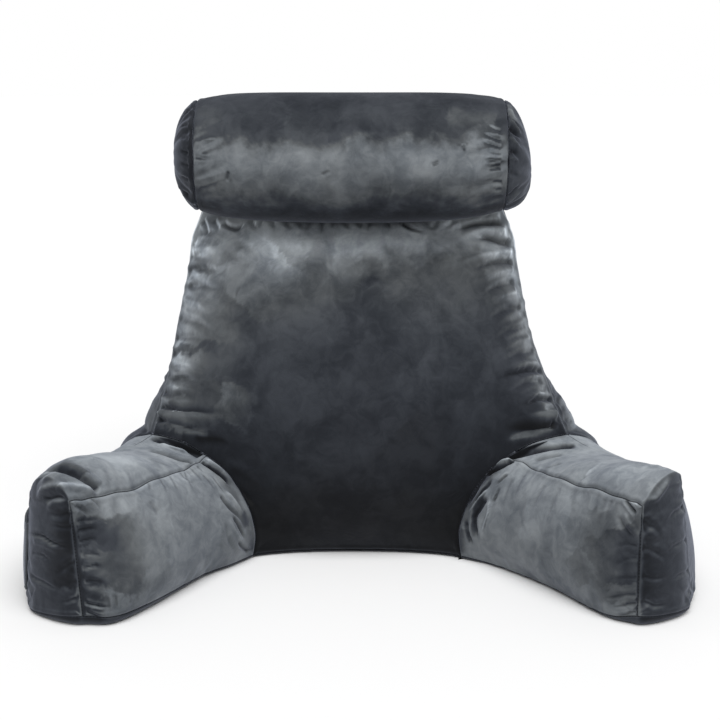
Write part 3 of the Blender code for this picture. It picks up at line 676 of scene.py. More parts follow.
FOLDS["arm_left", "inner"] = (
    Fold(((199, 462), (212, 470), (224, 479), (232, 486)), 3.2, 3.8, 0.75, fade=(0.06, 0.3)),
    crinkle(((205, 458), (216, 466), (228, 478)), 2.0, -1.6, -0.28),
    crinkle(((203, 474), (210, 482), (215, 490)), 1.4, 0.9, 0.28),
    crinkle(((212, 477), (219, 485), (225, 494)), 1.4, 1.0, 0.3),
    Fold(((220, 495), (228, 506), (237, 515), (244, 522)), 3.0, 2.2, 0.36),
    crinkle(((225, 491), (235, 503), (243, 516)), 2.4, -1.7, -0.14),
    crinkle(((232, 515), (239, 527), (245, 540)), 2.2, 1.8, 0.36),
    crinkle(((229, 520), (236, 533), (243, 545)), 2.0, -1.1, -0.08),
    crinkle(((238, 541), (243, 548), (249, 553)), 2.6, 1.6, 0.38),
    *tucks((
        ((169, 475), (175, 485), (179, 494)),
        ((179, 470), (187, 479), (197, 484)),
        ((189, 468), (199, 476), (206, 486)),
        ((159, 479), (165, 487), (168, 495)),
        ((197, 466), (205, 473)),
        ((184, 472), (190, 482), (194, 492)),
        ((148, 482), (152, 492)),
    ), 1.6, 0.9, 0.2),
    crinkle(((150, 500), (155, 508), (162, 513)), 4.5, 0.7, 0.12),
    crinkle(((225, 520), (229, 540), (236, 556)), 3.5, 0.8, 0.08),
    Fold(((76, 522), (92, 520), (108, 522)), 2.0, 1.2, 0.16),
    Fold(((77, 532), (88, 529), (100, 530)), 2.2, 1.5, 0.28),
    Fold(((79, 542), (90, 539), (100, 541)), 1.6, 1.0, 0.28),
    Fold(((81, 556), (92, 554), (104, 557)), 1.8, 0.8, 0.12),
    Fold(((82, 568), (92, 566), (103, 567)), 1.8, 1.0, 0.16),
    Fold(((83, 582), (93, 581), (103, 583)), 1.8, 0.7, 0.1),
    Fold(((84, 603), (97, 606), (112, 605)), 1.8, 1.3, 0.28),
    Fold(((86, 612), (97, 616), (108, 620)), 1.8, 1.0, 0.2),
    Fold(((75, 506), (84, 511), (90, 518)), 2.4, 1.3, 0.16),
    Fold(((90, 498), (98, 505), (103, 512)), 2.0, 1.0, 0.14),
    Fold(((114, 594), (116, 606), (118, 612)), 2.4, 0.9, 0.1),
    crinkle(((112, 488), (118, 520), (116, 560)), 6.0, 0.9, 0.08),
    nap_and_painted_light(((104, 518), (112, 550), (106, 592)), 34.0, 0.35),
    nap_and_painted_light(((86, 518), (90, 545)), 11.0, 0.24),
    nap_and_painted_light(((207, 464), (232, 492), (246, 530)), 9.0, 0.3),
    nap_and_painted_light(((120, 520), (138, 580)), 22.0, 0.12),
    nap_and_painted_light(((170, 560), (225, 540)), 22.0, -0.08),
    nap_and_painted_light(((130, 488), (190, 474)), 8.0, -0.12),
    nap_and_painted_light(((82, 512), (98, 530), (100, 552)), 16.0, 0.22),
    nap_and_painted_light(((243, 512), (250, 552)), 8.0, 0.38),
)
FOLDS["back_cushion", "front"] = (
    Fold(((559, 424), (548, 426), (532, 428), (508, 432)), 4.6, 5.3, 0.87, tail=1.2, fade=(0.08, 0.4)),
    Fold(((558, 430), (545, 434), (528, 439), (508, 447)), 3.2, -2.6, -0.59),
    Fold(((557, 414), (544, 416), (526, 420)), 4.0, -3.1, -0.5, tail=0.9),
    Fold(((552, 400), (536, 400), (520, 407)), 3.4, 2.9, 0.48),
    Fold(((548, 391), (530, 396), (514, 405)), 3.0, -1.4, -0.11),
    Fold(((542, 380), (524, 384), (506, 394)), 3.2, 1.2, 0.17),
    Fold(((542, 370), (522, 372), (502, 376), (490, 382)), 3.2, 3.1, 0.45, tail=0.9),
    Fold(((538, 362), (520, 364), (500, 371)), 3.4, -1.9, -0.17),
    Fold(((534, 350), (516, 355), (500, 362)), 3.4, 1.4, 0.17),
    Fold(((530, 338), (512, 343), (496, 351)), 3.6, -1.4, -0.11),
    Fold(((526, 325), (508, 331), (494, 340)), 3.4, 1.2, 0.14),
    Fold(((520, 306), (502, 312), (486, 322)), 4.0, 1.2, 0.14),
    Fold(((517, 292), (500, 296), (482, 305)), 4.0, -1.9, -0.17),
    Fold(((515, 282), (498, 286), (480, 296)), 3.6, 1.6, 0.2),
    Fold(((514, 270), (494, 274), (474, 284)), 3.6, -1.9, -0.17),
    Fold(((513, 262), (492, 263), (470, 271)), 3.6, 2.4, 0.34),
    Fold(((513, 251), (492, 253), (468, 260), (450, 270)), 4.0, -2.6, -0.2),
    Fold(((512, 243), (500, 241), (486, 237), (474, 238)), 4.6, 3.6, 0.5, tail=0.7, fade=(0.12, 0.4)),
    Fold(((508, 232), (492, 230), (472, 233), (452, 243)), 4.4, -2.6, -0.14),
    Fold(((504, 224), (488, 223), (470, 225), (448, 231)), 3.4, 2.8, 0.42),
    crinkle(((184, 441), (198, 443), (212, 444), (222, 448)), 4.0, 2.9, 0.59),
    crinkle(((168, 433), (184, 436), (200, 440)), 2.8, -2.6, -0.48),
    Fold(((155, 419), (170, 423), (182, 428), (196, 431)), 3.4, 4.1, 0.42, fade=(0.08, 0.4)),
    Fold(((158, 413), (180, 416), (202, 420), (222, 424)), 3.8, -3.4, -0.39, tail=0.9),
    Fold(((158, 406), (178, 410), (200, 412), (224, 414)), 3.2, 3.6, 0.5, tail=0.9),
    Fold(((162, 398), (180, 402), (202, 405)), 3.4, -1.9, -0.17),
    Fold(((163, 392), (180, 394), (198, 399)), 2.6, 1.4, 0.2),
    Fold(((165, 385), (182, 388), (204, 394)), 3.2, -1.9, -0.2),
    Fold(((166, 377), (184, 379), (204, 383)), 3.2, 1.7, 0.22),
    Fold(((169, 363), (188, 364), (206, 368)), 3.4, -1.2, -0.11),
    Fold(((171, 353), (188, 352), (206, 356)), 3.4, 1.2, 0.14),
    Fold(((176, 338), (192, 336), (210, 341)), 3.6, 1.1, 0.11),
    Fold(((180, 318), (198, 322), (216, 333)), 4.0, 1.1, 0.11),
    Fold(((184, 300), (200, 304), (220, 315)), 4.0, -1.2, -0.08),
    Fold(((188, 286), (206, 286), (226, 292)), 3.4, 1.3, 0.17),
    Fold(((189, 270), (206, 268), (226, 274)), 3.6, 1.1, 0.11),
    Fold(((192, 252), (208, 248), (226, 252)), 4.0, -1.4, -0.11),
    Fold(((194, 240), (208, 232), (222, 232)), 4.0, 1.2, 0.1),
    crinkle(((240, 286), (236, 299)), 1.4, 0.7, 0.14),
    Fold(((203, 219), (207, 228), (206, 236)), 2.4, 1.6, 0.25),
    crinkle(((232, 240), (252, 252), (262, 268)), 5.0, 1.0, 0.1),
    crinkle(((222, 221), (230, 227), (239, 228), (245, 221)), 2.6, 2.2, 0.26),
    *(under_roll(*tuck) for tuck in TUCKS_UNDER_ROLL),
    Fold(((402, 223), (414, 229), (426, 232)), 2.2, 1.6, 0.26),
    Fold(((228, 470), (246, 480), (262, 492)), 4.0, 1.7, 0.2),
    Fold(((220, 462), (236, 466), (256, 474)), 4.0, -1.4, -0.14),
    Fold(((236, 490), (250, 500), (262, 510)), 4.0, 1.0, 0.1),
    Fold(((470, 485), (458, 492), (446, 500)), 4.0, 1.0, 0.1),
    nap_and_painted_light(((200, 270), (192, 300), (184, 345)), 30.0, -0.36),
    nap_and_painted_light(((204, 238), (200, 262)), 16.0, -0.1),
    nap_and_painted_light(((215, 392), (252, 412)), 20.0, -0.18),
    nap_and_painted_light(((212, 245), (216, 275)), 16.0, -0.14),
    nap_and_painted_light(((330, 240), (430, 244)), 14.0, -0.1),
    nap_and_painted_light(((186, 350), (182, 390), (176, 432)), 34.0, -0.44),
    nap_and_painted_light(((232, 385), (222, 425)), 26.0, -0.26),
    nap_and_painted_light(((240, 250), (310, 256)), 20.0, -0.13),
    nap_and_painted_light(((365, 266), (485, 268)), 22.0, 0.2),
    nap_and_painted_light(((540, 388), (550, 424)), 10.0, -0.26),
    nap_and_painted_light(((285, 258), (240, 305)), 34.0, -0.22),
    nap_and_painted_light(((235, 320), (215, 400), (205, 430)), 20.0, -0.14),
    nap_and_painted_light(((375, 275), (365, 345), (395, 380)), 34.0, 0.12),
    nap_and_painted_light(((430, 262), (440, 300)), 22.0, 0.08),
    nap_and_painted_light(((400, 430), (450, 470)), 36.0, 0.14),
    nap_and_painted_light(((512, 270), (526, 330), (540, 385)), 15.0, -0.22),
    nap_and_painted_light(((438, 222), (462, 228)), 10.0, -0.2),
    nap_and_painted_light(((205, 222), (222, 226)), 12.0, -0.14),
    nap_and_painted_light(((561, 427), (548, 433), (535, 437), (519, 442)), 5.0, -0.34),
    nap_and_painted_light(((168, 430), (184, 434), (199, 438)), 5.0, -0.36),
    nap_and_painted_light(((250, 234), (302, 240)), 15.0, -0.1),
    nap_and_painted_light(((226, 262), (218, 300), (213, 348)), 20.0, -0.2),
    nap_and_painted_light(((490, 224), (511, 232)), 12.0, 0.14),
    nap_and_painted_light(((360, 262), (372, 290)), 14.0, 0.14),
    nap_and_painted_light(((203, 219), (300, 221), (400, 222), (506, 220)), 4.5, 0.3),
    nap_and_painted_light(((184, 336), (178, 362)), 16.0, -0.2),
    nap_and_painted_light(((533, 376), (547, 402), (556, 422)), 11.0, -0.28),
    nap_and_painted_light(((162, 398), (162, 424), (174, 436)), 11.0, -0.24),
)
FOLDS["arm_right", "strip"] = (
    Fold(((506, 458), (522, 453), (540, 450), (558, 447), (577, 446)),
        8.5, 5.0, 1.1, tail=0.7, fade=(0.03, 0.16), shoulder=0.1),
    Fold(((516, 451), (528, 446), (544, 443), (560, 441)), 3.0, -2.2, -0.12),
    crinkle(((533, 461), (548, 457), (566, 454)), 4.4, 1.6, 0.26),
    crinkle(((542, 470), (552, 466), (564, 463)), 4.0, 1.0, 0.14),
    Fold(((556, 479), (566, 470), (582, 461)), 1.8, 0.9, 0.12),
    Fold(((584, 478), (594, 468), (612, 460)), 1.6, -0.9, -0.1),
    Fold(((578, 484), (590, 473), (604, 465)), 1.8, 0.7, 0.08),
    crinkle(((640, 470), (652, 466), (664, 468)), 4.0, -1.2, -0.06),
    crinkle(((643, 497), (654, 500), (662, 490), (672, 476)), 3.6, -1.6, -0.12),
    Fold(((642, 520), (654, 528), (664, 540)), 3.2, 1.0, 0.1),
    Fold(((642, 548), (656, 552), (668, 560)), 3.0, 1.0, 0.1),
    Fold(((642, 575), (654, 578), (668, 576)), 2.6, 0.8, 0.1),
    Fold(((642, 600), (656, 606), (670, 602)), 2.6, 1.0, 0.14),
    Fold(((688, 540), (676, 546), (664, 556)), 2.6, 0.9, 0.1),
    Fold(((690, 570), (678, 576), (668, 586)), 2.6, 0.9, 0.1),
    Fold(((684, 506), (674, 514), (666, 526)), 3.0, 1.0, 0.1),
    nap_and_painted_light(((650, 515), (652, 600)), 15.0, 0.14),
    nap_and_painted_light(((643, 515), (643, 605)), 8.0, 0.2),
    nap_and_painted_light(((590, 470), (640, 480)), 20.0, -0.08),
    nap_and_painted_light(((532, 450), (555, 448), (575, 446)), 6.0, 0.28),
    nap_and_painted_light(((520, 446), (540, 441), (562, 438)), 5.0, -0.12),
)
FOLDS["arm_right", "inner"] = (
    Fold(((516, 460), (502, 466), (490, 472), (484, 477)), 2.8, 4.6, 1.0, tail=1.6, fade=(0.1, 0.15),
        shoulder=0.15),
    crinkle(((514, 459), (502, 462), (491, 467)), 1.6, -1.3, -0.3),
    Fold(((486, 475), (478, 487), (470, 501), (466, 514)), 4.4, 2.2, 0.62),
    crinkle(((492, 478), (488, 486), (480, 496), (473, 505)), 2.0, 1.8, 0.5),
    crinkle(((489, 488), (480, 500), (469, 514)), 2.2, -1.8, -0.2),
    Fold(((487, 496), (480, 507), (475, 518), (475, 530), (478, 541)), 3.4, 2.9, 0.62, fade=(0.12, 0.25)),
    crinkle(((490, 498), (488, 514), (483, 530), (480, 541)), 1.8, -1.6, -0.18),
    crinkle(((467, 519), (468, 532), (473, 546)), 2.8, 2.0, 0.42),
    Fold(((508, 474), (500, 481), (493, 487)), 2.2, 1.8, 0.34),
    crinkle(((499, 488), (496, 496), (492, 504)), 2.0, 1.6, 0.28),
    Fold(((512, 478), (506, 492), (502, 508)), 2.6, 0.7, 0.08),
    Fold(((524, 474), (517, 490), (512, 505)), 3.0, 0.7, 0.08),
    Fold(((545, 484), (536, 500), (528, 518)), 3.2, 0.7, 0.07),
    Fold(((560, 486), (552, 504), (545, 524)), 3.2, 0.7, 0.07),
    Fold(((606, 498), (600, 514), (596, 530)), 3.0, 0.6, 0.08),
    Fold(((612, 500), (607, 512), (604, 520)), 2.2, 0.6, 0.1),
    crinkle(((625, 499), (631, 507), (637, 516)), 2.4, 2.4, 0.44),
    crinkle(((629, 497), (635, 502), (639, 508)), 1.5, -1.3, -0.25),
    crinkle(((618, 514), (624, 528), (635, 538)), 3.0, 1.2, 0.16),
    crinkle(((637, 528), (630, 524), (624, 512)), 2.2, -1.0, -0.08),
    Fold(((638, 546), (626, 545), (612, 548)), 2.0, 0.9, 0.12),
    Fold(((638, 558), (626, 560), (614, 566)), 2.0, 0.8, 0.1),
    Fold(((638, 577), (624, 577), (608, 580)), 2.0, 0.9, 0.12),
    Fold(((638, 594), (620, 596), (600, 597)), 2.2, 1.3, 0.2),
    Fold(((638, 603), (624, 606), (610, 606)), 1.8, 1.1, 0.18),
    Fold(((638, 612), (626, 615), (614, 616)), 1.8, 1.1, 0.22),
    nap_and_painted_light(((613, 526), (620, 550), (626, 582)), 26.0, 0.32),
    nap_and_painted_light(((630, 512), (630, 612)), 10.0, 0.22),
    nap_and_painted_light(((500, 465), (478, 494), (466, 528)), 8.0, 0.2),
    nap_and_painted_light(((630, 520), (634, 560)), 12.0, 0.12),
    nap_and_painted_light(((586, 556), (600, 548)), 18.0, 0.12),
    nap_and_painted_light(((520, 520), (570, 515)), 24.0, -0.08),
    nap_and_painted_light(((600, 508), (604, 540), (612, 600)), 20.0, 0.18),
    nap_and_painted_light(((572, 552), (586, 582)), 14.0, 0.16),
    nap_and_painted_light(((497, 470), (481, 482), (470, 500)), 6.0, 0.26),
    nap_and_painted_light(((464, 528), (461, 552)), 6.0, 0.28),
)
FOLDS["neck_roll", "body"] = (
    *(beside_roll_end(*tuck) for tuck in TUCKS_BESIDE_ROLL_END),
    Fold(((195, 157), (203, 158), (211, 159)), 2.4, 0.7, 0.07),
    crinkle(((228, 171), (227, 182)), 2.0, 1.2, 0.22),
    crinkle(((463, 144), (464, 151)), 2.0, 0.8, 0.16),
    crinkle(((322, 176), (330, 171)), 2.0, 0.7, 0.1),
    crinkle(((432, 165), (440, 161)), 1.6, 0.7, 0.14),
    nap_and_painted_light(((445, 116), (500, 122)), 11.0, -0.24),
    nap_and_painted_light(((240, 125), (285, 126)), 9.0, 0.12),
    nap_and_painted_light(((330, 128), (400, 130)), 9.0, 0.12),
    nap_and_painted_light(((325, 141), (345, 146)), 9.0, 0.16),
    nap_and_painted_light(((200, 108), (216, 124)), 11.0, -0.12),
    nap_and_painted_light(((380, 150), (480, 165)), 16.0, -0.06),
    nap_and_painted_light(((478, 128), (492, 162)), 14.0, -0.18),
)
FOLDS["neck_roll_cap_right", "dome"] = (
    Fold(((504, 109), (514, 117), (522, 128)), 1.8, -1.4, -0.22),
    Fold(((504, 115), (513, 123), (520, 131)), 2.4, 1.6, 0.2),
    Fold(((504, 121), (515, 128), (523, 136)), 1.8, -1.8, -0.34),
    Fold(((505, 128), (514, 132), (521, 138)), 3.0, 2.2, 0.42),
    Fold(((504, 137), (514, 142), (523, 150)), 2.0, -1.6, -0.24),
    Fold(((505, 152), (513, 152), (520, 155)), 3.2, 2.0, 0.38),
    Fold(((505, 159), (513, 159), (520, 161)), 1.8, -1.2, -0.16),
    Fold(((507, 201), (516, 194), (523, 187)), 1.8, -1.2, -0.18),
    Fold(((508, 196), (514, 190), (521, 182)), 2.2, 1.2, 0.16),
    Fold(((507, 172), (514, 174), (520, 178)), 2.4, 1.0, 0.14),
    nap_and_painted_light(((507, 105), (516, 124)), 12.0, -0.38),
)
FOLDS["neck_roll_cap_left", "dome"] = (
    *tucks(tuple(((189, rim), (184, halfway), (180, inner)) for rim, halfway, inner in PLEATS_LEFT_END),
        2.2, 1.0, 0.12),
)
FOLDS["back_cushion", "rear"] = (
    nap_and_painted_light(((564, 398), (575, 418), (590, 443)), 24.0, -0.44),
    nap_and_painted_light(((160, 392), (148, 415), (136, 438)), 18.0, -0.16),
    nap_and_painted_light(((574, 412), (584, 432)), 14.0, -0.2),
)


# Cushions ---------------------------------------------------------------------------------------
@dataclass
class Cushion:
    """A stuffed piece: panels sewn into a closed skin."""

    node: str  # the solid that it stands for
    sheen: float = 0.30  # weight of the soft glow of its velvet
    fill: float = 0.7  # how tightly it is stuffed, from 0 to 1
    pressure: float = 2.5  # pressure of the stuffing in the simulation
    slack: float = 0.05  # how much spare cloth is gathered beside its seams
    most: float = 0.006  # the most that the stuffing may move the cloth
    fullness: float = 0.85  # share of the swelling that the cut of the panels already holds
    levels: int = 2  # how many times its cloth is refined
    panels: list = field(default_factory=list)  # its cut pieces
    seams: list = field(default_factory=list)  # its sewn lines
    flats: list = field(default_factory=list)  # flat faces that close it, by their outlines

    def skin(self) -> bpy.types.Object:
        """Lay the panels as grids, weld them and put the piece in the scene.

        Returns:
            The piece, with its panel numbers.
        """
        bm = bmesh.new()
        number = bm.faces.layers.int.new("panel")
        for index, panel in enumerate(self.panels):
            rows, columns = panel.rows.shape[0] - 1, panel.rows.shape[1] - 1
            made = bmesh.ops.create_grid(bm, x_segments=columns, y_segments=rows, size=0.5)
            for vertex in made["verts"]:
                i = round((vertex.co.x + 0.5) * columns)
                j = round((vertex.co.y + 0.5) * rows)
                for face in vertex.link_faces:
                    face[number] = index
                vertex.co = panel.rows[j, i] + PLAN_SHIFT
        for outline in self.flats:
            face = bm.faces.new([bm.verts.new(point + PLAN_SHIFT) for point in outline])
            face[number] = len(self.panels)
        bmesh.ops.remove_doubles(bm, verts=bm.verts, dist=CLOSE)
        flats = [face for face in bm.faces if face[number] == len(self.panels)]
        bmesh.ops.triangulate(bm, faces=flats, quad_method="BEAUTY", ngon_method="BEAUTY")
        bmesh.ops.recalc_face_normals(bm, faces=bm.faces)
        crease = bm.edges.layers.float.new("crease_edge")
        for face in bm.faces:
            face.smooth = True
        for edge in bm.edges:
            beside = {face[number] for face in edge.link_faces}
            edge[crease] = 1.0 if len(beside) > 1 else 0.0
        return add_object(self.node + "_cover", add_mesh(bm, self.node + "_velvet"))

    def stuff(self, piece: bpy.types.Object) -> None:
        """Give the piece a cloth modifier that swells its free panels between pinned seams.

        Args:
            piece: The welded skin.
        """
        mesh = piece.data
        number = mesh.attributes["panel"].data
        free = [panel.free for panel in self.panels] + [False]
        held = set()
        owners: dict = {}
        for polygon in mesh.polygons:
            index = number[polygon.index].value
            for vertex in polygon.vertices:
                owners.setdefault(vertex, set()).add(index)
                if not free[index]:
                    held.add(vertex)
        held.update(vertex for vertex, found in owners.items() if len(found) > 1)
        places = read_places(mesh)
        away, _, _ = self.seam_places(places)
        sewn = piece.vertex_groups.new(name="sewn")
        sewn.add(list(held), 1.0, "REPLACE")
        spare = piece.vertex_groups.new(name="spare")
        for index, distance in enumerate(away):
            spare.add([index], float(np.exp(-distance / SPARE_REACH)), "REPLACE")
        cloth = piece.modifiers.new("stuffing", "CLOTH")
        settings = cloth.settings
        for name, value in CLOTH.items():
            setattr(settings, name, value)
        settings.uniform_pressure_force = self.pressure
        settings.vertex_group_mass = "sewn"
        settings.vertex_group_shrink = "spare"
        settings.shrink_min = 0.0
        settings.shrink_max = -self.slack
        settings.effector_weights.gravity = 0.0
        cloth.collision_settings.use_collision = False
        cloth.point_cache.frame_end = STUFFING_FRAMES

    def settle(self, piece: bpy.types.Object) -> None:
        """Keep what the stuffing did, within its limit, and refine the cloth.

        Args:
            piece: The stuffed skin.
        """
        mesh = piece.data
        before = read_places(mesh)
        if piece.modifiers:
            graph = bpy.context.evaluated_depsgraph_get()
            moved = read_places(piece.evaluated_get(graph).data) - before
            moved -= self.fullness * evened(mesh, moved, EVENING_ROUNDS)
            length = np.linalg.norm(moved, axis=1, keepdims=True)
            moved *= self.most * np.tanh(length / self.most) / np.maximum(length, 1e-9)
            write_places(mesh, before + moved)
            piece.modifiers.clear()
            piece.vertex_groups.clear()
        finer = piece.modifiers.new("finer", "SUBSURF")
        finer.levels = finer.render_levels = self.levels
        finer.uv_smooth = "NONE"
        graph = bpy.context.evaluated_depsgraph_get()
        fine = bpy.data.meshes.new_from_object(
            piece.evaluated_get(graph), preserve_all_data_layers=True, depsgraph=graph
        )
        piece.modifiers.clear()
        piece.data = fine
        bpy.data.meshes.remove(mesh)

    def seam_places(self, places: np.ndarray) -> tuple:
        """Nearest seam of each place.

        Args:
            places: Places on the cloth, one row each.

        Returns:
            Distances from it, places along it, and its number.
        """
        lines = [densified(seam.line + PLAN_SHIFT) for seam in self.seams]
        points = np.vstack([line for line, _ in lines])
        along = np.concatenate([travelled for _, travelled in lines])
        owner = np.concatenate([np.full(len(line), index) for index, (line, _) in enumerate(lines)])
        tree = kdtree.KDTree(len(points))
        for index, point in enumerate(points):
            tree.insert(point, index)
        tree.balance()
        nearest = np.array([tree.find(place)[1] for place in places])
        away = np.full(len(places), np.inf)
        place = along[nearest]
        for step in (-1, 1):
            other = np.clip(nearest + step, 0, len(points) - 1)
            other = np.where(owner[other] == owner[nearest], other, nearest)
            leg = points[other] - points[nearest]
            reach = np.maximum((leg**2).sum(axis=1), 1e-12)
            share = np.clip(((places - points[nearest]) * leg).sum(axis=1) / reach, 0.0, 1.0)
            distance = np.linalg.norm(places - points[nearest] - leg * share[:, None], axis=1)
            closer = distance < away
            away[closer] = distance[closer]
            moved = along[nearest] + share * (along[other] - along[nearest])
            place[closer] = moved[closer]
        return away, place, owner[nearest]

    def tone(self, places: np.ndarray, normals: np.ndarray) -> np.ndarray:
        """Painted light and shade at places on the piece, in stops: none, unless a piece has its own."""
        return np.zeros(len(places))

    def keep_clear(self, places: np.ndarray, free: np.ndarray) -> np.ndarray:
        """Hold the finished cloth off what it must not touch."""
        return places

    def dress(self, piece: bpy.types.Object) -> None:
        """Press the folds and seams into the cloth, paint the piece's light and shade into its tone, and give
        it its velvet.

        Args:
            piece: The stuffed and refined piece.
        """
        mesh = piece.data
        places = read_places(mesh)
        normals = read_normals(mesh)
        corners = read_numbers(mesh.loops, "vertex_index")
        sizes = read_numbers(mesh.polygons, "loop_total")
        owner = np.repeat(read_numbers(mesh.attributes["panel"].data, "value"), sizes)

        away, along, seam = self.seam_places(places)
        height, dark = np.zeros(len(places)), np.zeros(len(places))
        for index, sewn in enumerate(self.seams):
            chosen = seam == index
            seed = 17 * index + len(self.node)
            height[chosen] = sewn.look.shape(away[chosen], along[chosen], seed)
            # painted shadow beside each seam
            dark[chosen] = sewn.look.shadow * np.exp(-((away[chosen] / SHADOW_REACH) ** 2))
        free = np.ones(len(places), dtype=bool)
        stray = brushed(places)
        for index, panel in enumerate(self.panels + [Panel("flat", np.zeros((1, 1, 3)), False)]):
            inside = owner == index
            used = np.unique(corners[inside])
            if not panel.free:
                free[used] = False
            faces_eye = ((places[used] - EYE) * normals[used]).sum(axis=1) < 0.0
            seen = places[used][faces_eye]
            pictured = in_picture(seen)
            for fold in FOLDS.get((self.node, panel.name), ()):
                line = lay_line(fold.path, seen, pictured)
                ragged = min(1.0, fold.width / WASH_WIDTH) if fold.depth == 0.0 else FOLD_STRAY
                depth, shadow = fold.press(places[used] + ragged * stray[used], line)
                hold = ease(away[used] / SEAM_HOLD)
                height[used] -= depth * hold
                # painted shade of the fold or wash, painted highlight where it is negative
                dark[used] += shadow
        height[~free] = np.minimum(height[~free], 0.0)
        height[~free] *= away[~free] < SEAM_HOLD
        places = places + normals * height[:, None]
        places = self.keep_clear(places, free)
        places[:, 2] = np.maximum(places[:, 2], 0.0)
        write_places(mesh, places)

        # the tone holds the piece's painted light and shade, with the painted shade and highlights of its
        # folds, washes and seams
        darker = SHADE_STOPS * np.clip(dark, *SHADE_RANGE)
        shade = 2.0 ** (self.tone(places, read_normals(mesh)) - darker)
        # painted shade on the base panels, which face the floor
        for index, panel in enumerate(self.panels):
            if not panel.free:
                shade[np.unique(corners[owner == index])] *= UNDERSIDE_PAINTED_SHADE
        mesh.attributes.new("tone", "FLOAT", "POINT").data.foreach_set("value", shade.astype(np.float32))
        seam_map = mesh.uv_layers.new(name="seam", do_init=False)
        seam_uv = np.stack((away[corners], along[corners]), axis=1)
        seam_map.uv.foreach_set("vector", seam_uv.astype(np.float32).ravel())
        mesh.materials.clear()
        mesh.materials.append(Velvet(self.node + "_velvet", sheen=self.sheen).material())
        mesh.update()

    def declare(self, piece: bpy.types.Object) -> None:
        """Say what the piece stands for and how it moves.

        Args:
            piece: The finished piece.
        """
        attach(piece, BODY)
        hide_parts(self.node)

    def complete(self, piece: bpy.types.Object) -> None:
        self.settle(piece)
        self.dress(piece)
        self.declare(piece)


def read_rows(items: bpy.types.bpy_prop_collection, name: str) -> np.ndarray:
    """Three numbers of each item, one row each."""
    numbers = np.zeros(len(items) * 3, dtype=np.float32)
    items.foreach_get(name, numbers)
    return numbers.reshape(-1, 3).astype(float)


def read_numbers(items: bpy.types.bpy_prop_collection, name: str) -> np.ndarray:
    """A whole number of each item."""
    numbers = np.zeros(len(items), dtype=np.int32)
    items.foreach_get(name, numbers)
    return numbers


def read_places(mesh: bpy.types.Mesh) -> np.ndarray:
    """Where a mesh's vertices are, one row each."""
    return read_rows(mesh.vertices, "co")


def write_places(mesh: bpy.types.Mesh, places: np.ndarray) -> None:
    """Move a mesh's vertices."""
    mesh.vertices.foreach_set("co", places.astype(np.float32).ravel())
    mesh.update()


def read_normals(mesh: bpy.types.Mesh) -> np.ndarray:
    """A mesh's vertex normals, one row each."""
    return read_rows(mesh.vertex_normals, "vector")


def add_mesh(bm: bmesh.types.BMesh, name: str) -> bpy.types.Mesh:
    """A mesh with what was modelled, which is then let go."""
    mesh = bpy.data.meshes.new(name)
    bm.to_mesh(mesh)
    bm.free()
    return mesh


def add_object(name: str, data: bpy.types.ID) -> bpy.types.Object:
    """A new object in the scene."""
    made = bpy.data.objects.new(name, data)
    bpy.context.scene.collection.objects.link(made)
    return made


def brushed(places: np.ndarray) -> np.ndarray:
    """How far the edges of washes and bands of painted light stray at each place.

    Args:
        places: Places on the cloth, one row each.

    Returns:
        Shifts in metres, one row each.
    """
    octaves, fading = 5, 0.62
    strays = [
        noise.turbulence_vector(Vector(place * STRAY_FINENESS), octaves, False, amplitude_scale=fading)
        for place in places
    ]
    return STRAY * np.array(strays).reshape(-1, 3)


def evened(mesh: bpy.types.Mesh, values: np.ndarray, rounds: int) -> np.ndarray:
    """Values at a mesh's vertices, spread evenly over their neighbours.

    Args:
        mesh: The mesh.
        values: One row for each vertex.
        rounds: How often each vertex takes on its neighbours' mean.

    Returns:
        The evened values.
    """
    ends = np.zeros(len(mesh.edges) * 2, dtype=np.int32)
    mesh.edges.foreach_get("vertices", ends)
    starts, stops = ends[::2], ends[1::2]
    count = np.bincount(ends, minlength=len(values)).astype(float)[:, None]
    for _ in range(rounds):
        total = np.zeros_like(values)
        for axis in range(values.shape[1]):
            total[:, axis] += np.bincount(starts, values[stops, axis], len(values))
            total[:, axis] += np.bincount(stops, values[starts, axis], len(values))
        values = 0.5 * values + 0.5 * total / np.maximum(count, 1.0)
    return values


def base_rows(seam: np.ndarray, inside: np.ndarray, ends: tuple, inset: float) -> np.ndarray:
    """The base panel's edge, from a bottom seam down and in to the floor.

    Args:
        seam: The bottom seam's points.
        inside: A floor point within the cushion.
        ends: The ways in at the seam's two ends.
        inset: How far the panel tucks in.

    Returns:
        Points by row and column.
    """
    tangent = np.gradient(seam, axis=0)
    inward = np.stack((-tangent[:, 1], tangent[:, 0], np.zeros(len(seam))), axis=1)
    inward /= np.linalg.norm(inward, axis=1, keepdims=True)
    flip = ((inside - seam) * inward).sum(axis=1) < 0.0
    inward[flip] *= -1.0
    inward[0], inward[-1] = ends
    rows = [seam]
    for across, height in TUCK:
        row = seam + inward * inset * across
        row[:, 2] = seam[:, 2] * height
        rows.append(row)
    return np.array(rows)


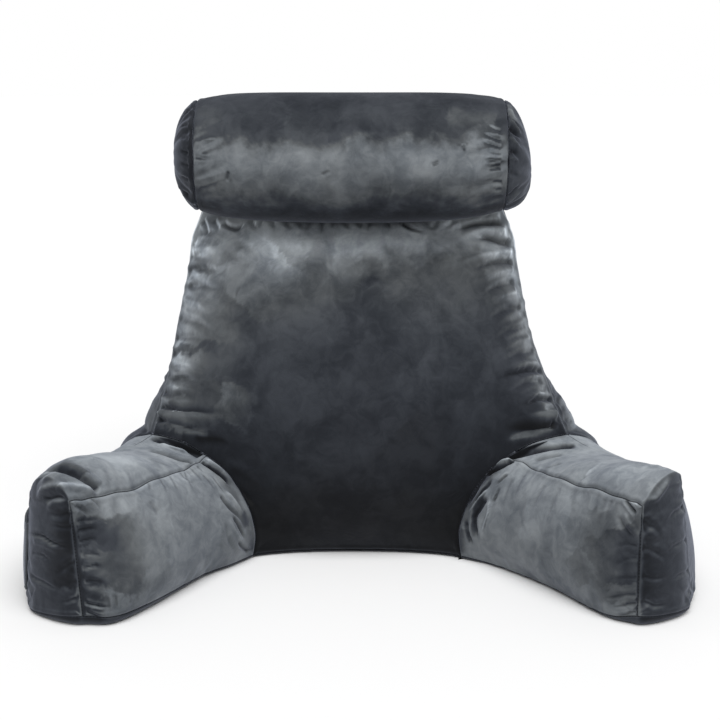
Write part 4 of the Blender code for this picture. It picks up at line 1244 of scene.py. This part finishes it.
@dataclass(frozen=True)
class Joint:
    """The upright plane on which an arm is sewn to the back."""

    start: tuple = (0.114, 0.024, 0.0)  # its plan point at the seat, for the +X side
    angle: float = math.radians(26.7)  # its plan direction from sideways
    inner: tuple = (  # profile of the seam beside the arm's inner panel: distance, height
        (0.0, 0.004), (-0.003, 0.029), (0.003, 0.054), (0.016, 0.077), (0.035, 0.099), (0.060, 0.1135),
    )
    # profile beside the arm's boxing strip
    upper: tuple = ((0.060, 0.1135), (0.092, 0.1253), (0.121, 0.1294), (0.142, 0.130))
    # profile beside the arm's outer panel
    flank: tuple = ((0.142, 0.130), (0.172, 0.120), (0.194, 0.092), (0.205, 0.050), (0.199, 0.004))
    low_spans: int = 24  # spans of the inner and flank profiles
    strip_spans: int = 20  # spans of the upper profile
    crowd: float = 0.5  # how much the spans crowd towards the ends
    slip: float = 0.008  # how much farther out the left arm is sewn on
    near: float = 0.02  # how close to the plane cloth is held off it
    clearance: tuple = (0.0003, 0.0045)  # how far off it is held, at the seam and at most
    opening: float = 0.16  # how fast that grows away from the seam

    def along(self, side: int) -> np.ndarray:
        """The plane's plan direction, from the seat outwards."""
        return np.array((side * math.cos(self.angle), math.sin(self.angle), 0.0))

    def normal(self, side: int) -> np.ndarray:
        """The plane's normal, towards the arm."""
        return np.array((side * math.sin(self.angle), -math.cos(self.angle), 0.0))

    def origin(self, side: int) -> np.ndarray:
        """A point of the plane."""
        return np.array((side * self.start[0], self.start[1], 0.0))

    def place(self, profile: tuple, side: int, offset: float) -> list:
        """Points of a profile on the plane, offset along its normal."""
        base = self.origin(side) + self.normal(side) * offset
        return [base + self.along(side) * far + np.array((0.0, 0.0, high)) for far, high in profile]

    def curves(self, side: int, offset: float) -> tuple:
        """The inner, upper and flank lines of the joint.

        Args:
            side: 1 for +X and -1 for -X.
            offset: How far they lie along the plane's normal.

        Returns:
            Three curves.
        """
        slip = self.slip if side < 0 else 0.0
        last = len(self.upper) - 1
        inner = tuple((far + slip, high) for far, high in self.inner)
        upper = tuple(
            (far + slip * (1.0 - index / last), high) for index, (far, high) in enumerate(self.upper)
        )
        return (
            seam_curve(self.place(inner, side, offset), self.low_spans, self.crowd),
            seam_curve(self.place(upper, side, offset), self.strip_spans, self.crowd),
            seam_curve(self.place(self.flank, side, offset), self.low_spans, self.crowd),
        )

    def hold_off(self, places: np.ndarray, sides: tuple, direction: float) -> np.ndarray:
        """Hold cloth clear of the plane, more the farther it is from the seam.

        Args:
            places: Places on the cloth, one row each.
            sides: The sides whose planes count.
            direction: 1 for the arm's side of the plane and -1 for the back's.

        Returns:
            The places, moved where they were too near.
        """
        held = places.copy()
        least, most = self.clearance
        for side in sides:
            normal = self.normal(side) * direction
            line = joined(*self.curves(side, 0.0)) + PLAN_SHIFT
            beside = side * held[:, 0] > 0.0
            short = (held - self.origin(side) - PLAN_SHIFT) @ normal
            close = beside & (short < self.near)
            away, _ = along_path(held[close], line)
            clear = PARTING + np.minimum(most, least + self.opening * away)
            push = np.maximum(0.0, clear - short[close])
            held[close] += normal * push[:, None]
        return held


@dataclass(frozen=True)
class RollForm:
    """The neck roll's round form."""

    centre: tuple = (-0.010, 0.080, 0.4525)  # its middle
    half: float = 0.169  # from the middle to an end seam
    radius: float = 0.0718  # at the middle
    end_radius: float = 0.0602  # at the end seams
    sag: float = 0.003  # how far it hangs at the middle
    draw_in: float = 0.032  # length over which it narrows
    seat_gap: float = 0.0011  # between it and the back that it lies on

    def axis(self, x: np.ndarray) -> tuple:
        """Height of the axis, and radius, at places along X.

        Args:
            x: Places along the roll, before the shift to the footprint's middle.

        Returns:
            Heights and radii.
        """
        share = np.minimum(1.0, np.abs(x - self.centre[0]) / self.half)
        narrowing = np.exp(-(1.0 - share) * self.half / self.draw_in)
        radius = self.radius - (self.radius - self.end_radius) * narrowing
        return self.centre[2] - self.sag * (1.0 - share**2), radius

    def rings(self, x: np.ndarray, around: int) -> np.ndarray:
        """Rings round the roll at places along X, rows by place."""
        height, radius = self.axis(x)
        turn = np.linspace(0.0, 2.0 * np.pi, around + 1)
        rows = np.zeros((len(x), around + 1, 3))
        rows[:, :, 0] = x[:, None]
        rows[:, :, 1] = self.centre[1] + radius[:, None] * np.cos(turn)
        rows[:, :, 2] = height[:, None] + radius[:, None] * np.sin(turn)
        rows[:, -1] = rows[:, 0]
        return rows


# Back -------------------------------------------------------------------------------------------
@dataclass
class BackCushion(Cushion):
    """The stuffed back: crowned front, wrap-round rear panel and base."""

    joint: Joint = Joint()  # where the arms are sewn on
    roll: RollForm = RollForm()  # the roll that lies on it
    side_seam: tuple = (  # the side seam from the joint up, for the +X side
        (0.228, 0.103, 0.168),
        (0.2085, 0.119, 0.237),
        (0.1925, 0.136, 0.317),
        (0.188, 0.145, 0.352),
    )
    top_corner: tuple = (0.174, 0.152, 0.388)  # where the side seam meets the top
    # how far the top sits off centre, and the heights between which it leans
    lean: tuple = (-0.008, 0.13, 0.25)
    front: tuple = (  # middle line of the front panel, lower and upper
        ((0.046, 0.004), (0.022, 0.045), (0.009, 0.095), (0.009, 0.140)),
        ((0.009, 0.140), (0.021, 0.200), (0.044, 0.275), (0.073, 0.340), (0.108, 0.390), (0.152, 0.424)),
    )
    rear: tuple = (  # middle line of the rear panel, lower and upper
        ((0.234, 0.004), (0.246, 0.050), (0.248, 0.100), (0.245, 0.140)),
        ((0.245, 0.140), (0.237, 0.200), (0.219, 0.280), (0.196, 0.350), (0.176, 0.398), (0.152, 0.424)),
    )
    flank_push: float = 0.0385  # how far the rear panel bulges past the side seams
    flank_level: float = 0.136  # height at which it is fullest
    flank_spread: float = 0.062  # height over which it fades above
    flank_reach: float = 0.07  # where across the panel it is fullest
    flank_fall: float = 0.5  # how fast it lessens below
    inside: tuple = (0.0, 0.13, 0.0)  # a floor point that the back stands round
    inset: float = 0.009  # how far the base panel tucks in
    nap_and_painted_light: tuple = (  # painted light and shade by height, in stops
        (0.03, -5.0), (0.06, -4.2), (0.095, -2.5), (0.13, -1.9), (0.165, -1.65), (0.2, -1.25),
        (0.26, -0.75), (0.29, -0.3), (0.31, 0.3), (0.33, 1.0), (0.349, 2.1), (0.38, 1.9),
    )
    painted_light_behind: float = 0.3  # share of that painted light and shade which is left behind
    painted_sheen_aside: float = 1.5  # painted sheen on the flanks: how much lighter they are, in stops
    up_spans: int = 78  # spans of the side seam
    across_spans: int = 104  # spans across the front and the rear panel

    def leaning(self, line: np.ndarray) -> np.ndarray:
        """A line leaned a little sideways towards the top."""
        shift, low, high = self.lean
        leaned = line.copy()
        leaned[:, 0] += shift * np.clip((line[:, 2] - low) / (high - low), 0.0, 1.0)
        return leaned

    def middle(self, profiles: tuple, low_spans: int) -> np.ndarray:
        """A middle line from the bottom seam to the top."""
        lower, upper = ([(0.0, y, z) for y, z in profile] for profile in profiles)
        return self.leaning(joined(seam_curve(lower, low_spans), seam_curve(upper, self.up_spans)))

    def bulge_flanks(self, rows: np.ndarray, across: np.ndarray) -> np.ndarray:
        """The rear panel with its flanks pushed out beside the side seams."""
        near = np.minimum(across, 1.0 - across) / self.flank_reach
        above = (rows[:, :, 2] - self.flank_level) / self.flank_spread
        level = np.exp(-(np.maximum(0.0, above) ** 2)) / (1.0 + np.maximum(0.0, -above) * self.flank_fall)
        push = self.flank_push * near * np.exp(1.0 - near) * level
        pushed = rows.copy()
        pushed[:, :, 0] += np.where(across < 0.5, -1.0, 1.0) * push
        return pushed

    def seat_roll(self, places: np.ndarray, gap: float) -> np.ndarray:
        """Hollow the cloth where the roll lies on it."""
        height, radius = self.roll.axis(places[..., 0])
        away = places[..., 1:] - np.stack((np.full_like(height, self.roll.centre[1]), height), axis=-1)
        far = np.linalg.norm(away, axis=-1)
        lift = np.maximum(1.0, (radius + gap) / np.maximum(far, 1e-6))
        seated = places.copy()
        seated[..., 1] = self.roll.centre[1] + away[..., 0] * lift
        seated[..., 2] = height + away[..., 1] * lift
        return seated

    def cut(self) -> None:
        """Lay out the panels and seams."""
        joint = self.joint
        front_rails, rear_rails = {}, {}
        for side in (-1, 1):
            inner, upper, flank = joint.curves(side, -PARTING)
            points = [upper[-1]] + mirrored(list(self.side_seam) + [self.top_corner], side)
            side_seam = self.leaning(seam_curve(points, self.up_spans))
            side_seam[0] = upper[-1]
            front_rails[side] = joined(inner, upper, side_seam)
            rear_rails[side] = joined(flank[::-1], side_seam)
            self.seams += [
                Seam("joint", joined(inner, upper), SeamLook(gather=0.0009, pitch=0.021, shadow=0.10)),
                Seam("flank joint", flank, SeamLook(gather=0.0016)),
                Seam("side", side_seam, SeamLook(gather=0.0021, pitch=0.019, reach=0.011)),
            ]
        front_middle = self.middle(self.front, joint.low_spans + joint.strip_spans)
        rear_middle = self.middle(self.rear, joint.low_spans)
        across = cuts(self.across_spans, 0.6)
        front = loft(front_rails[-1], front_middle, front_rails[1], across)
        rear = self.bulge_flanks(loft(rear_rails[-1], rear_middle, rear_rails[1], across), across)
        gap = self.roll.seat_gap
        self.close(self.seat_roll(front, gap), self.seat_roll(rear, gap))

    def close(self, front: np.ndarray, rear: np.ndarray) -> None:
        """Add the base and the flat faces that close the skin.

        Args:
            front: Rows of the front panel.
            rear: Rows of the rear panel.
        """
        joint = self.joint
        inside = np.array(self.inside)
        left, right = joint.along(-1), joint.along(1)
        front_base = base_rows(front[0], inside, (left, right), self.inset)
        rear_base = base_rows(rear[0], inside, (-left, -right), self.inset)
        self.panels = [
            Panel("front", front),
            Panel("rear", rear),
            Panel("front base", front_base, free=False),
            Panel("rear base", rear_base, free=False),
        ]
        self.seams += [
            Seam("front bottom", front[0], SeamLook(gather=0.0008)),
            Seam("rear bottom", rear[0], SeamLook(gather=0.0014)),
            Seam("top", front[-1], SeamLook(gather=0.0024, pitch=0.015, reach=0.010)),
        ]
        self.flats = [np.vstack((front_base[-1], rear_base[-1][::-1]))]
        for side, column in ((-1, 0), (1, -1)):
            inner, upper, flank = joint.curves(side, -PARTING)
            outline = joined(inner, upper, flank)
            self.flats.append(np.vstack((front_base[:0:-1, column], outline, rear_base[1:, column])))

    def keep_clear(self, places: np.ndarray, free: np.ndarray) -> np.ndarray:
        """Hold the cloth off the arms and the roll."""
        kept = places.copy()
        kept[free] = self.joint.hold_off(places[free], (-1, 1), -1.0)
        return self.seat_roll(kept - PLAN_SHIFT, self.roll.seat_gap) + PLAN_SHIFT

    def tone(self, places: np.ndarray, normals: np.ndarray) -> np.ndarray:
        """Painted light at the top and painted shade towards the seat, less of both behind, and painted sheen
        on the flanks.
        """
        high = (places + brushed(places))[:, 2]
        aside = ease((np.abs(normals[:, 0]) - 0.5) / 0.3)
        front = ease((0.45 - normals[:, 1]) / 0.6)
        share = self.painted_light_behind + (1.0 - self.painted_light_behind) * front
        return np.interp(high, *zip(*self.nap_and_painted_light)) * share + self.painted_sheen_aside * aside


# Arms -------------------------------------------------------------------------------------------
@dataclass
class Arm(Cushion):
    """A stuffed arm: inner panel, boxing strip over the top and end, outer panel and base."""

    side: int = 1  # 1 for +X and -1 for -X
    joint: Joint = Joint()  # where it is sewn to the back
    inner_height: float = 0.128  # height of the end's inner corner
    outer_height: float = 0.144  # height of the end's outer corner
    crown_height: float = 0.148  # height of its top
    # its inner bottom seam, for the +X side
    inner_bottom: tuple = ((0.155, -0.004, 0.002), (0.205, -0.066, 0.002), (0.250, -0.148, 0.004))
    inner_top: tuple = (  # its inner top seam
        (0.189, 0.014, 0.113), (0.208, -0.035, 0.117), (0.229, -0.082, 0.121), (0.264, -0.140, 0.127),
    )
    outer_top: tuple = (  # its outer top seam
        (0.258, 0.053, 0.126), (0.286, 0.024, 0.121), (0.312, -0.030, 0.119), (0.328, -0.080, 0.124),
    )
    # its outer bottom seam
    outer_bottom: tuple = ((0.3565, -0.080, 0.009), (0.353, -0.005, 0.007), (0.330, 0.060, 0.005))
    front_inner: tuple = (0.279, -0.174)  # plan point of the end's inner corner
    front_outer: tuple = (0.342, -0.131)  # plan point of the end's outer corner
    end_rise: tuple = (0.012, 0.007)  # heights of the end's bottom seam, at its inner and outer corner
    seam_height: float = 0.124  # mean height of the two top seams
    end_taper: tuple = (0.016, 0.001)  # how far the outer corner leans in and back at its top
    inner_lean: float = 0.0  # how far the inner corner leans out at its top
    facing: float = 60.0  # the way that the end faces, in degrees from sideways
    end_swell: float = 0.012  # how far the end swells
    inset: float = 0.009  # how far the base panel tucks in
    swells: tuple = (0.012, 0.008)  # how far the inner and outer panels swell
    inner_facing: tuple = (0.76, 0.65)  # the way that the inner panel faces, inwards and forwards
    seam_wander: float = 0.0009  # how far the inner top seam rises and sinks
    crest_peak: float = 0.75  # where along the top the crown is reached
    crest_drop: float = 0.28  # share of its rise that is lost towards the end
    crest_out: float = 0.004  # how far the top's middle line is drawn out at the end
    # where on a crown's curve the end starts, and how much of it the end takes
    end_crown: tuple = (0.12, 0.60)
    end_lift: float = 0.010  # how far the end's upper edge is rounded up
    nap_and_painted_light: tuple = (0.95, 1.1, 2.6)  # painted light and shade, in stops: plain, more on the top, less on the end
    spans: int = 50  # spans along the arm

    def lines(self) -> dict:
        """The arm's seams.

        Returns:
            Curves by name.
        """
        side, spans, crowd = self.side, self.spans, self.joint.crowd
        inner, upper, flank = self.joint.curves(side, PARTING)
        corners = [(*self.front_inner, self.end_rise[0]), (*self.front_outer, self.end_rise[1])]
        inner_low, outer_low = (np.array(corner) for corner in mirrored(corners, side))
        inner_high = inner_low + np.array((side * self.inner_lean, 0.0, self.inner_height - self.end_rise[0]))
        lean_in, lean_back = self.end_taper
        outer_high = outer_low + np.array((-side * lean_in, lean_back, self.outer_height - self.end_rise[1]))
        inner_bottom = [inner[0]] + mirrored(self.inner_bottom, side) + [inner_low]
        outer_bottom = [flank[-1]] + mirrored(self.outer_bottom[::-1], side) + [outer_low]
        inner_top = [inner[-1]] + mirrored(self.inner_top, side) + [inner_high]
        outer_top = [upper[-1]] + mirrored(self.outer_top, side) + [outer_high]
        low = self.joint.low_spans
        return {
            "inner_joint": inner,
            "upper_joint": upper,
            "flank": flank,
            "inner_bottom": seam_curve(inner_bottom, spans, crowd),
            "outer_bottom": seam_curve(outer_bottom, spans, crowd),
            "inner_top": wander(seam_curve(inner_top, spans, crowd), self.seam_wander, 3 + side),
            "outer_top": seam_curve(outer_top, spans, crowd),
            "inner_end": seam_curve([inner_high, inner_low], low, crowd),
            "outer_end": seam_curve([outer_high, outer_low], low, crowd),
        }

    def crest(self, lines: dict) -> np.ndarray:
        """The crown line of the boxing strip, over the arm's top and down its end."""
        facing = math.radians(self.facing)
        outward = np.array((self.side * math.cos(facing), -math.sin(facing), 0.0))
        top = (lines["inner_top"] + lines["outer_top"]) / 2.0
        share = cuts(len(top) - 1, self.joint.crowd)
        peak = self.crest_peak
        dropped = self.crest_drop * np.maximum(0.0, (share - peak) / (1.0 - peak)) ** 2
        rise = (self.crown_height - self.seam_height) * (ease(share / peak) - dropped)
        top = top + outward * (self.crest_out * share)[:, None]
        top[:, 2] += rise
        end = (lines["inner_end"] + lines["outer_end"]) / 2.0
        share = cuts(len(end) - 1, self.joint.crowd)
        first, taken = self.end_crown
        end = end + outward * (self.end_swell * crown(first + taken * share))[:, None]
        end[:, 2] += self.end_lift * (1.0 - share) ** 3
        return joined(top, end)

    def cut(self) -> None:
        """Lay out the panels and seams."""
        lines = self.lines()
        side, joint = self.side, self.joint
        along = cuts(self.spans, joint.crowd)
        up = cuts(joint.low_spans, joint.crowd)
        inward = np.array((-side * self.inner_facing[0], -self.inner_facing[1], 0.0))
        inner = patch(
            (lines["inner_bottom"], lines["inner_top"], lines["inner_joint"], lines["inner_end"][::-1]),
            inward * self.swells[0],
            along,
            up,
        )
        outer = patch(
            (lines["outer_bottom"], lines["outer_top"], lines["flank"][::-1], lines["outer_end"][::-1]),
            -inward * self.swells[1],
            along,
            up,
        )
        across = cuts(joint.strip_spans, joint.crowd)
        left = joined(lines["inner_top"], lines["inner_end"])
        right = joined(lines["outer_top"], lines["outer_end"])
        strip = loft(left, self.crest(lines), right, across)
        strip[0] = lines["upper_joint"]
        bottom = joined(lines["inner_bottom"], strip[-1], lines["outer_bottom"][::-1])
        middle = (bottom[0] + bottom[-1] + strip[-1][0] + strip[-1][-1]) / 4.0
        inward_joint = joint.along(side)
        base = base_rows(bottom, middle, (inward_joint, -inward_joint), self.inset)
        self.panels = [
            Panel("inner", inner),
            Panel("strip", strip),
            Panel("outer", outer),
            Panel("base", base, free=False),
        ]
        inner_joint = joined(lines["inner_joint"], lines["upper_joint"])
        plain = SeamLook(gather=0.0012, pitch=0.020, reach=0.008)
        inner_end = SeamLook(lip=0.0001, gather=0.0010, pitch=0.016, shadow=0.14)
        self.seams = [
            Seam("inner joint", inner_joint, SeamLook(gather=0.0008, pitch=0.026, shadow=0.24)),
            Seam("flank joint", lines["flank"], SeamLook(gather=0.0012)),
            Seam("inner top", lines["inner_top"], plain),
            Seam("inner end", lines["inner_end"], inner_end),
            Seam("outer top", lines["outer_top"], plain),
            Seam("outer end", lines["outer_end"], SeamLook(gather=0.0012, pitch=0.018)),
            Seam("bottom", bottom, SeamLook(gather=0.0010, pitch=0.022)),
        ]
        outline = joined(inner_joint, lines["flank"])
        self.flats = [base[-1], np.vstack((base[:0:-1, 0], outline, base[1:, -1]))]

    def keep_clear(self, places: np.ndarray, free: np.ndarray) -> np.ndarray:
        """Hold the cloth off the back."""
        kept = places.copy()
        kept[free] = self.joint.hold_off(places[free], (self.side,), 1.0)
        return kept

    def tone(self, places: np.ndarray, normals: np.ndarray) -> np.ndarray:
        """Painted light on the top, plain on the inner side and painted shade on the end."""
        up = np.clip(normals[:, 2], 0.0, 1.0)
        forward = ease((-normals[:, 1] * 0.75 + self.side * normals[:, 0] * 0.66 - 0.45) / 0.4)
        plain, top, end = self.nap_and_painted_light
        return plain + top * up - end * forward * (1.0 - up)


# Neck roll --------------------------------------------------------------------------------------
@dataclass
class NeckRoll(Cushion):
    """The roll's wrapped body between its two end seams."""

    form: RollForm = RollForm()  # its round form
    around: int = 86  # spans round it
    length: int = 70  # spans along it
    crowd: float = 0.6  # how much its rings crowd towards the end seams
    seated: float = 0.35  # share of the radius below which the back holds it
    give: float = 0.0004  # how far past its radius it may swell there
    nap_and_painted_light: tuple = (  # painted light and shade by the way it faces, from straight down to straight up, in stops
        (-90, -3.4), (-60, -3.1), (-44, -1.3), (-28, 0.3), (-8, 1.0),
        (5, 1.2), (14, 0.8), (24, -0.55), (66, -1.1), (90, -0.8),
    )
    painted_band_stray: float = 1100.0  # how far the painted bands stray, in degrees for a metre of straying cloth

    def cut(self) -> None:
        """Lay out the body panel, its flat ends and its seams."""
        along = cuts(self.length, self.crowd) * 2.0 - 1.0
        x = self.form.centre[0] + along * (self.form.half - PARTING)
        rows = self.form.rings(x, self.around)
        self.panels = [Panel("body", rows)]
        end = SeamLook(gather=0.0020, pitch=0.021, reach=0.010)
        self.seams = [Seam("left end", rows[0], end), Seam("right end", rows[-1], end)]
        self.flats = [rows[0][:-1], rows[-1][:-1]]

    def keep_clear(self, places: np.ndarray, free: np.ndarray) -> np.ndarray:
        """Hold the cloth off the back that the roll lies on."""
        kept = places - PLAN_SHIFT
        height, radius = self.form.axis(kept[:, 0])
        across = kept[:, 1:] - np.stack((np.full_like(height, self.form.centre[1]), height), axis=1)
        far = np.linalg.norm(across, axis=1)
        most = np.where(across[:, 1] < self.seated * radius, radius + self.give, np.inf)
        across *= np.minimum(1.0, most / np.maximum(far, 1e-6))[:, None]
        kept[:, 1] = self.form.centre[1] + across[:, 0]
        kept[:, 2] = height + across[:, 1]
        return kept + PLAN_SHIFT

    def tone(self, places: np.ndarray, normals: np.ndarray) -> np.ndarray:
        """Painted light in a band that faces forward, painted shade above it and deep painted shade below."""
        lift = np.degrees(np.arctan2(normals[:, 2], -normals[:, 1]))
        stray = self.painted_band_stray * brushed(places)[:, 2]
        return np.interp(lift + stray, *zip(*self.nap_and_painted_light))


@dataclass
class RollCap(Cushion):
    """A round end panel of the roll, domed by the filling and gathered at its rim."""

    side: int = 1  # 1 for +X and -1 for -X
    form: RollForm = RollForm()  # the roll's round form
    depth: float = 0.031  # how far it domes
    dome: float = 1.3  # how softly the dome rises from its rim
    droop: float = 0.019  # how far its middle sags
    gathers: int = 11  # pleats round the rim
    gather_depth: float = 0.0016  # their depth
    nap_and_painted_light: float = -1.3  # its painted light and shade, in stops
    painted_light_ahead: float = 0.5  # how much more painted light it gets where it faces forward
    rings: int = 16  # rings from the rim to the middle
    ring_crowd: float = 1.15  # how much they crowd towards the rim, 1 for evenly
    around: int = 88  # spans round it

    def cut(self) -> None:
        """Lay out the dome, its flat seat against the roll and its seam."""
        x = self.form.centre[0] + self.side * (self.form.half + PARTING)
        rim = self.form.rings(np.array([x]), self.around)[0]
        height, _ = self.form.axis(np.array([x]))
        middle = np.array((x, self.form.centre[1], height[0]))
        turn = np.radians(90.0) * np.linspace(0.0, 1.0, self.rings + 1) ** self.ring_crowd
        angle = np.linspace(0.0, 2.0 * np.pi, self.around + 1)
        rows = middle + (rim - middle)[None] * np.cos(turn)[:, None, None]
        fullness = (np.sin(2.0 * turn) * np.cos(turn))[:, None]
        pleat = self.gather_depth * np.cos(self.gathers * angle)[None] * fullness
        rows[:, :, 0] += self.side * (self.depth * np.sin(turn)[:, None] ** self.dome + pleat)
        rows[:, :, 2] -= self.droop * np.sin(turn)[:, None] ** 2
        rows[-1] = rows[-1, :-1].mean(axis=0)
        rows[:, -1] = rows[:, 0]
        self.panels = [Panel("dome", rows)]
        self.seams = [Seam("rim", rim, SeamLook(gather=0.0022, pitch=0.019, reach=0.009))]
        self.flats = [rim[:-1]]

    def tone(self, places: np.ndarray, normals: np.ndarray) -> np.ndarray:
        """Painted light and shade over the dome, changing where it faces forward."""
        return self.nap_and_painted_light + self.painted_light_ahead * np.clip(-normals[:, 1], 0.0, 1.0)


# Pocket -----------------------------------------------------------------------------------------
@dataclass
class SidePocket(Cushion):
    """A patch pocket on the outside of the left arm, open at its top edge, cut as a flat sheet."""

    span: tuple = (0.46, 0.91)  # the part of the arm's outer panel that it covers, along the arm
    rise: tuple = (0.20, 0.63)  # the part that it covers upwards
    thickness: float = 0.002  # of its cloth
    mouth: float = 0.006  # how far the middle of its top edge stands off
    gape: float = 1.3  # how fast it comes away from the arm towards its top edge
    edge_gap: float = 0.0011  # between its edges and the arm
    facing: tuple = (-0.966, 0.259, 0.0)  # the way that it stands off
    hem: float = 0.012  # depth of the turned hem
    hem_rise: float = 0.0006  # how much thicker the cloth is there
    nestle: float = 0.0004  # how much nearer than its edges' gap it may come to the arm
    probe: float = 0.05  # how far off the arm is looked for
    margin: float = 0.0035  # from its edges to the line of stitches
    flat_size: tuple = (0.140, 0.073)  # the width and length of its cloth
    columns: int = 52  # spans along it
    rows: int = 28  # spans up it

    def lay(self, arm: Arm, piece: bpy.types.Object) -> None:
        """Lay the pocket's cloth over the arm's outer panel.

        Args:
            arm: The left arm.
            piece: The left arm's finished cover.
        """
        outer = next(panel.rows for panel in arm.panels if panel.name == "outer")
        u = np.linspace(0.0, 1.0, self.columns + 1)
        v = np.linspace(0.0, 1.0, self.rows + 1)
        along = spread(self.span[0] + (self.span[1] - self.span[0]) * u, 0.6)
        up = spread(self.rise[0] + (self.rise[1] - self.rise[0]) * v, 0.6)
        columns = spread(np.linspace(0.0, 1.0, outer.shape[1]), arm.joint.crowd)
        rows = spread(np.linspace(0.0, 1.0, outer.shape[0]), arm.joint.crowd)
        tall = np.array(
            [[np.interp(up, rows, outer[:, i, k]) for k in range(3)] for i in range(len(columns))]
        )
        laid = np.stack(
            [[np.interp(along, columns, tall[:, k, j]) for j in range(len(up))] for k in range(3)], axis=-1
        )
        facing = np.array(self.facing)
        gape = self.mouth * (v[:, None] ** self.gape) * crown(u)[None]
        laid = laid + facing * (self.edge_gap + gape)[..., None]
        tree = BVHTree.FromObject(piece, bpy.context.evaluated_depsgraph_get())
        for row in laid:
            for index, point in enumerate(row):
                start = Vector(point + PLAN_SHIFT + facing * self.probe)
                hit, _, _, distance = tree.ray_cast(start, Vector(-facing), 2.0 * self.probe)
                if hit is not None:
                    short = self.edge_gap - self.nestle - (distance - self.probe)
                    row[index] = point + facing * max(0.0, short)
        turned = np.where(v * self.flat_size[1] > self.flat_size[1] - self.hem, self.hem_rise, 0.0)
        front = laid + facing * (self.thickness + turned)[:, None, None]
        self.panels = [
            Panel("outside", front),
            Panel("inside", laid),
            Panel("foot", np.array([laid[0], front[0]])),
            Panel("mouth", np.array([laid[-1], front[-1]])),
            Panel("front edge", np.array([laid[:, -1], front[:, -1]])),
            Panel("rear edge", np.array([laid[:, 0], front[:, 0]])),
        ]
        inset_u = round(self.margin / self.flat_size[0] * self.columns)
        inset_v = round(self.margin / self.flat_size[1] * self.rows)
        hem_row = round((1.0 - self.hem / self.flat_size[1]) * self.rows)
        stitched = joined(
            front[:inset_v:-1, inset_u], front[inset_v, inset_u:-inset_u], front[inset_v:, -inset_u - 1]
        )
        flat = SeamLook(groove=0.0005, lip=0.0, gather=0.0)
        self.seams = [Seam("sewn edge", stitched, flat), Seam("hem", front[hem_row], flat)]

    def declare(self, piece: bpy.types.Object) -> None:
        """Say what the pocket stands for and how it moves."""
        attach(piece, BODY)
        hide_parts(self.node)


# Studio -----------------------------------------------------------------------------------------
@dataclass
class Studio:
    """The floor, the soft light and the camera."""

    floor_tone: float = 0.93  # lightness of the floor
    glow: float = 0.42  # strength of the light from all around
    key_ray: tuple = (-0.12, 0.62, -1.0)  # the way that the overhead light falls
    key_power: float = 2.6  # its strength
    key_softness: float = 55.0  # its angle across, in degrees

    def lay_floor(self) -> None:
        """Put a plain pale floor under the object."""
        bm = bmesh.new()
        bmesh.ops.create_grid(bm, x_segments=1, y_segments=1, size=12.0)
        floor = add_object("floor", add_mesh(bm, "floor"))
        paint = bpy.data.materials.new("floor paint")
        paint.use_nodes = True
        shader = paint.node_tree.nodes["Principled BSDF"]
        tone = (*[self.floor_tone] * 3, 1.0)
        set_inputs(shader, {"Base Color": tone, "Roughness": 0.9, "Specular IOR Level": 0.1})
        floor.data.materials.append(paint)

    def light_room(self) -> None:
        """Hang the overhead light and make white surroundings that light the object softly."""
        key = bpy.data.lights.new("overhead", "SUN")
        key.energy = self.key_power
        key.angle = math.radians(self.key_softness)
        lamp = add_object("overhead", key)
        lamp.rotation_euler = Vector(self.key_ray).to_track_quat("-Z", "Y").to_euler()
        world = bpy.data.worlds.new("white room")
        world.use_nodes = True
        tree = world.node_tree
        sky = tree.nodes["Background"]
        sky.inputs["Color"].default_value = (1.0, 1.0, 1.0, 1.0)
        path = add_node(tree, "ShaderNodeLightPath")
        tree.links.new(band_node(tree, path.outputs[0], 0.0, 1.0, self.glow, 1.0), sky.inputs["Strength"])
        bpy.context.scene.world = world

    def build(self) -> None:
        """Set up the room and the camera."""
        self.lay_floor()
        self.light_room()
        camera = add_object("camera", bpy.data.cameras.new("camera"))
        camera.data.lens = LENS
        camera.data.sensor_width = FILM
        camera.location = EYE
        camera.rotation_euler = (math.radians(TILT), 0.0, 0.0)
        bpy.context.scene.camera = camera
        bpy.context.scene.view_settings.view_transform = "Standard"


def cushions() -> list:
    """The stuffed pieces, in the order in which they are made."""
    left_arm = Arm(
        "arm_left",
        side=-1,
        inner_height=0.133,
        outer_height=0.123,
        crown_height=0.1555,
        inner_bottom=(
            (0.145, -0.005, 0.004), (0.172, -0.038, 0.005), (0.215, -0.124, 0.008), (0.247, -0.170, 0.010),
        ),
        front_outer=(0.3445, -0.125),
        outer_bottom=((0.3545, -0.080, 0.007), (0.352, -0.005, 0.007), (0.330, 0.060, 0.005)),
        end_rise=(0.012, 0.003),
        end_taper=(0.006, 0.004),
        inner_lean=0.008,
        swells=(0.012, 0.007),
    )
    return [
        BackCushion("back_cushion", levels=1),
        left_arm,
        Arm("arm_right"),
        NeckRoll("neck_roll", sheen=0.16, most=0.003),
        RollCap("neck_roll_cap_left", side=-1, depth=0.027, droop=0.001, painted_light_ahead=-1.3),
        RollCap("neck_roll_cap_right", most=0.003),
    ]


def main() -> None:
    """Build, stuff and dress every piece."""
    logging.basicConfig(level=logging.INFO, format="%(message)s")
    Studio().build()
    made = cushions()
    pieces = []
    for cushion in made:
        cushion.cut()
        pieces.append(cushion.skin())
        cushion.stuff(pieces[-1])
    for number in range(1, STUFFING_FRAMES + 1):
        bpy.context.scene.frame_set(number)
    for cushion, piece in zip(made, pieces):
        cushion.complete(piece)

    left_arm = [cushion.node for cushion in made].index("arm_left")
    pocket = SidePocket("side_pocket_left")
    pocket.lay(made[left_arm], pieces[left_arm])
    pieces.append(pocket.skin())
    pocket.complete(pieces[-1])
    for piece in pieces:
        log.info("%s: %d faces", piece.name, len(piece.data.polygons))


if __name__ == "__main__":
    main()
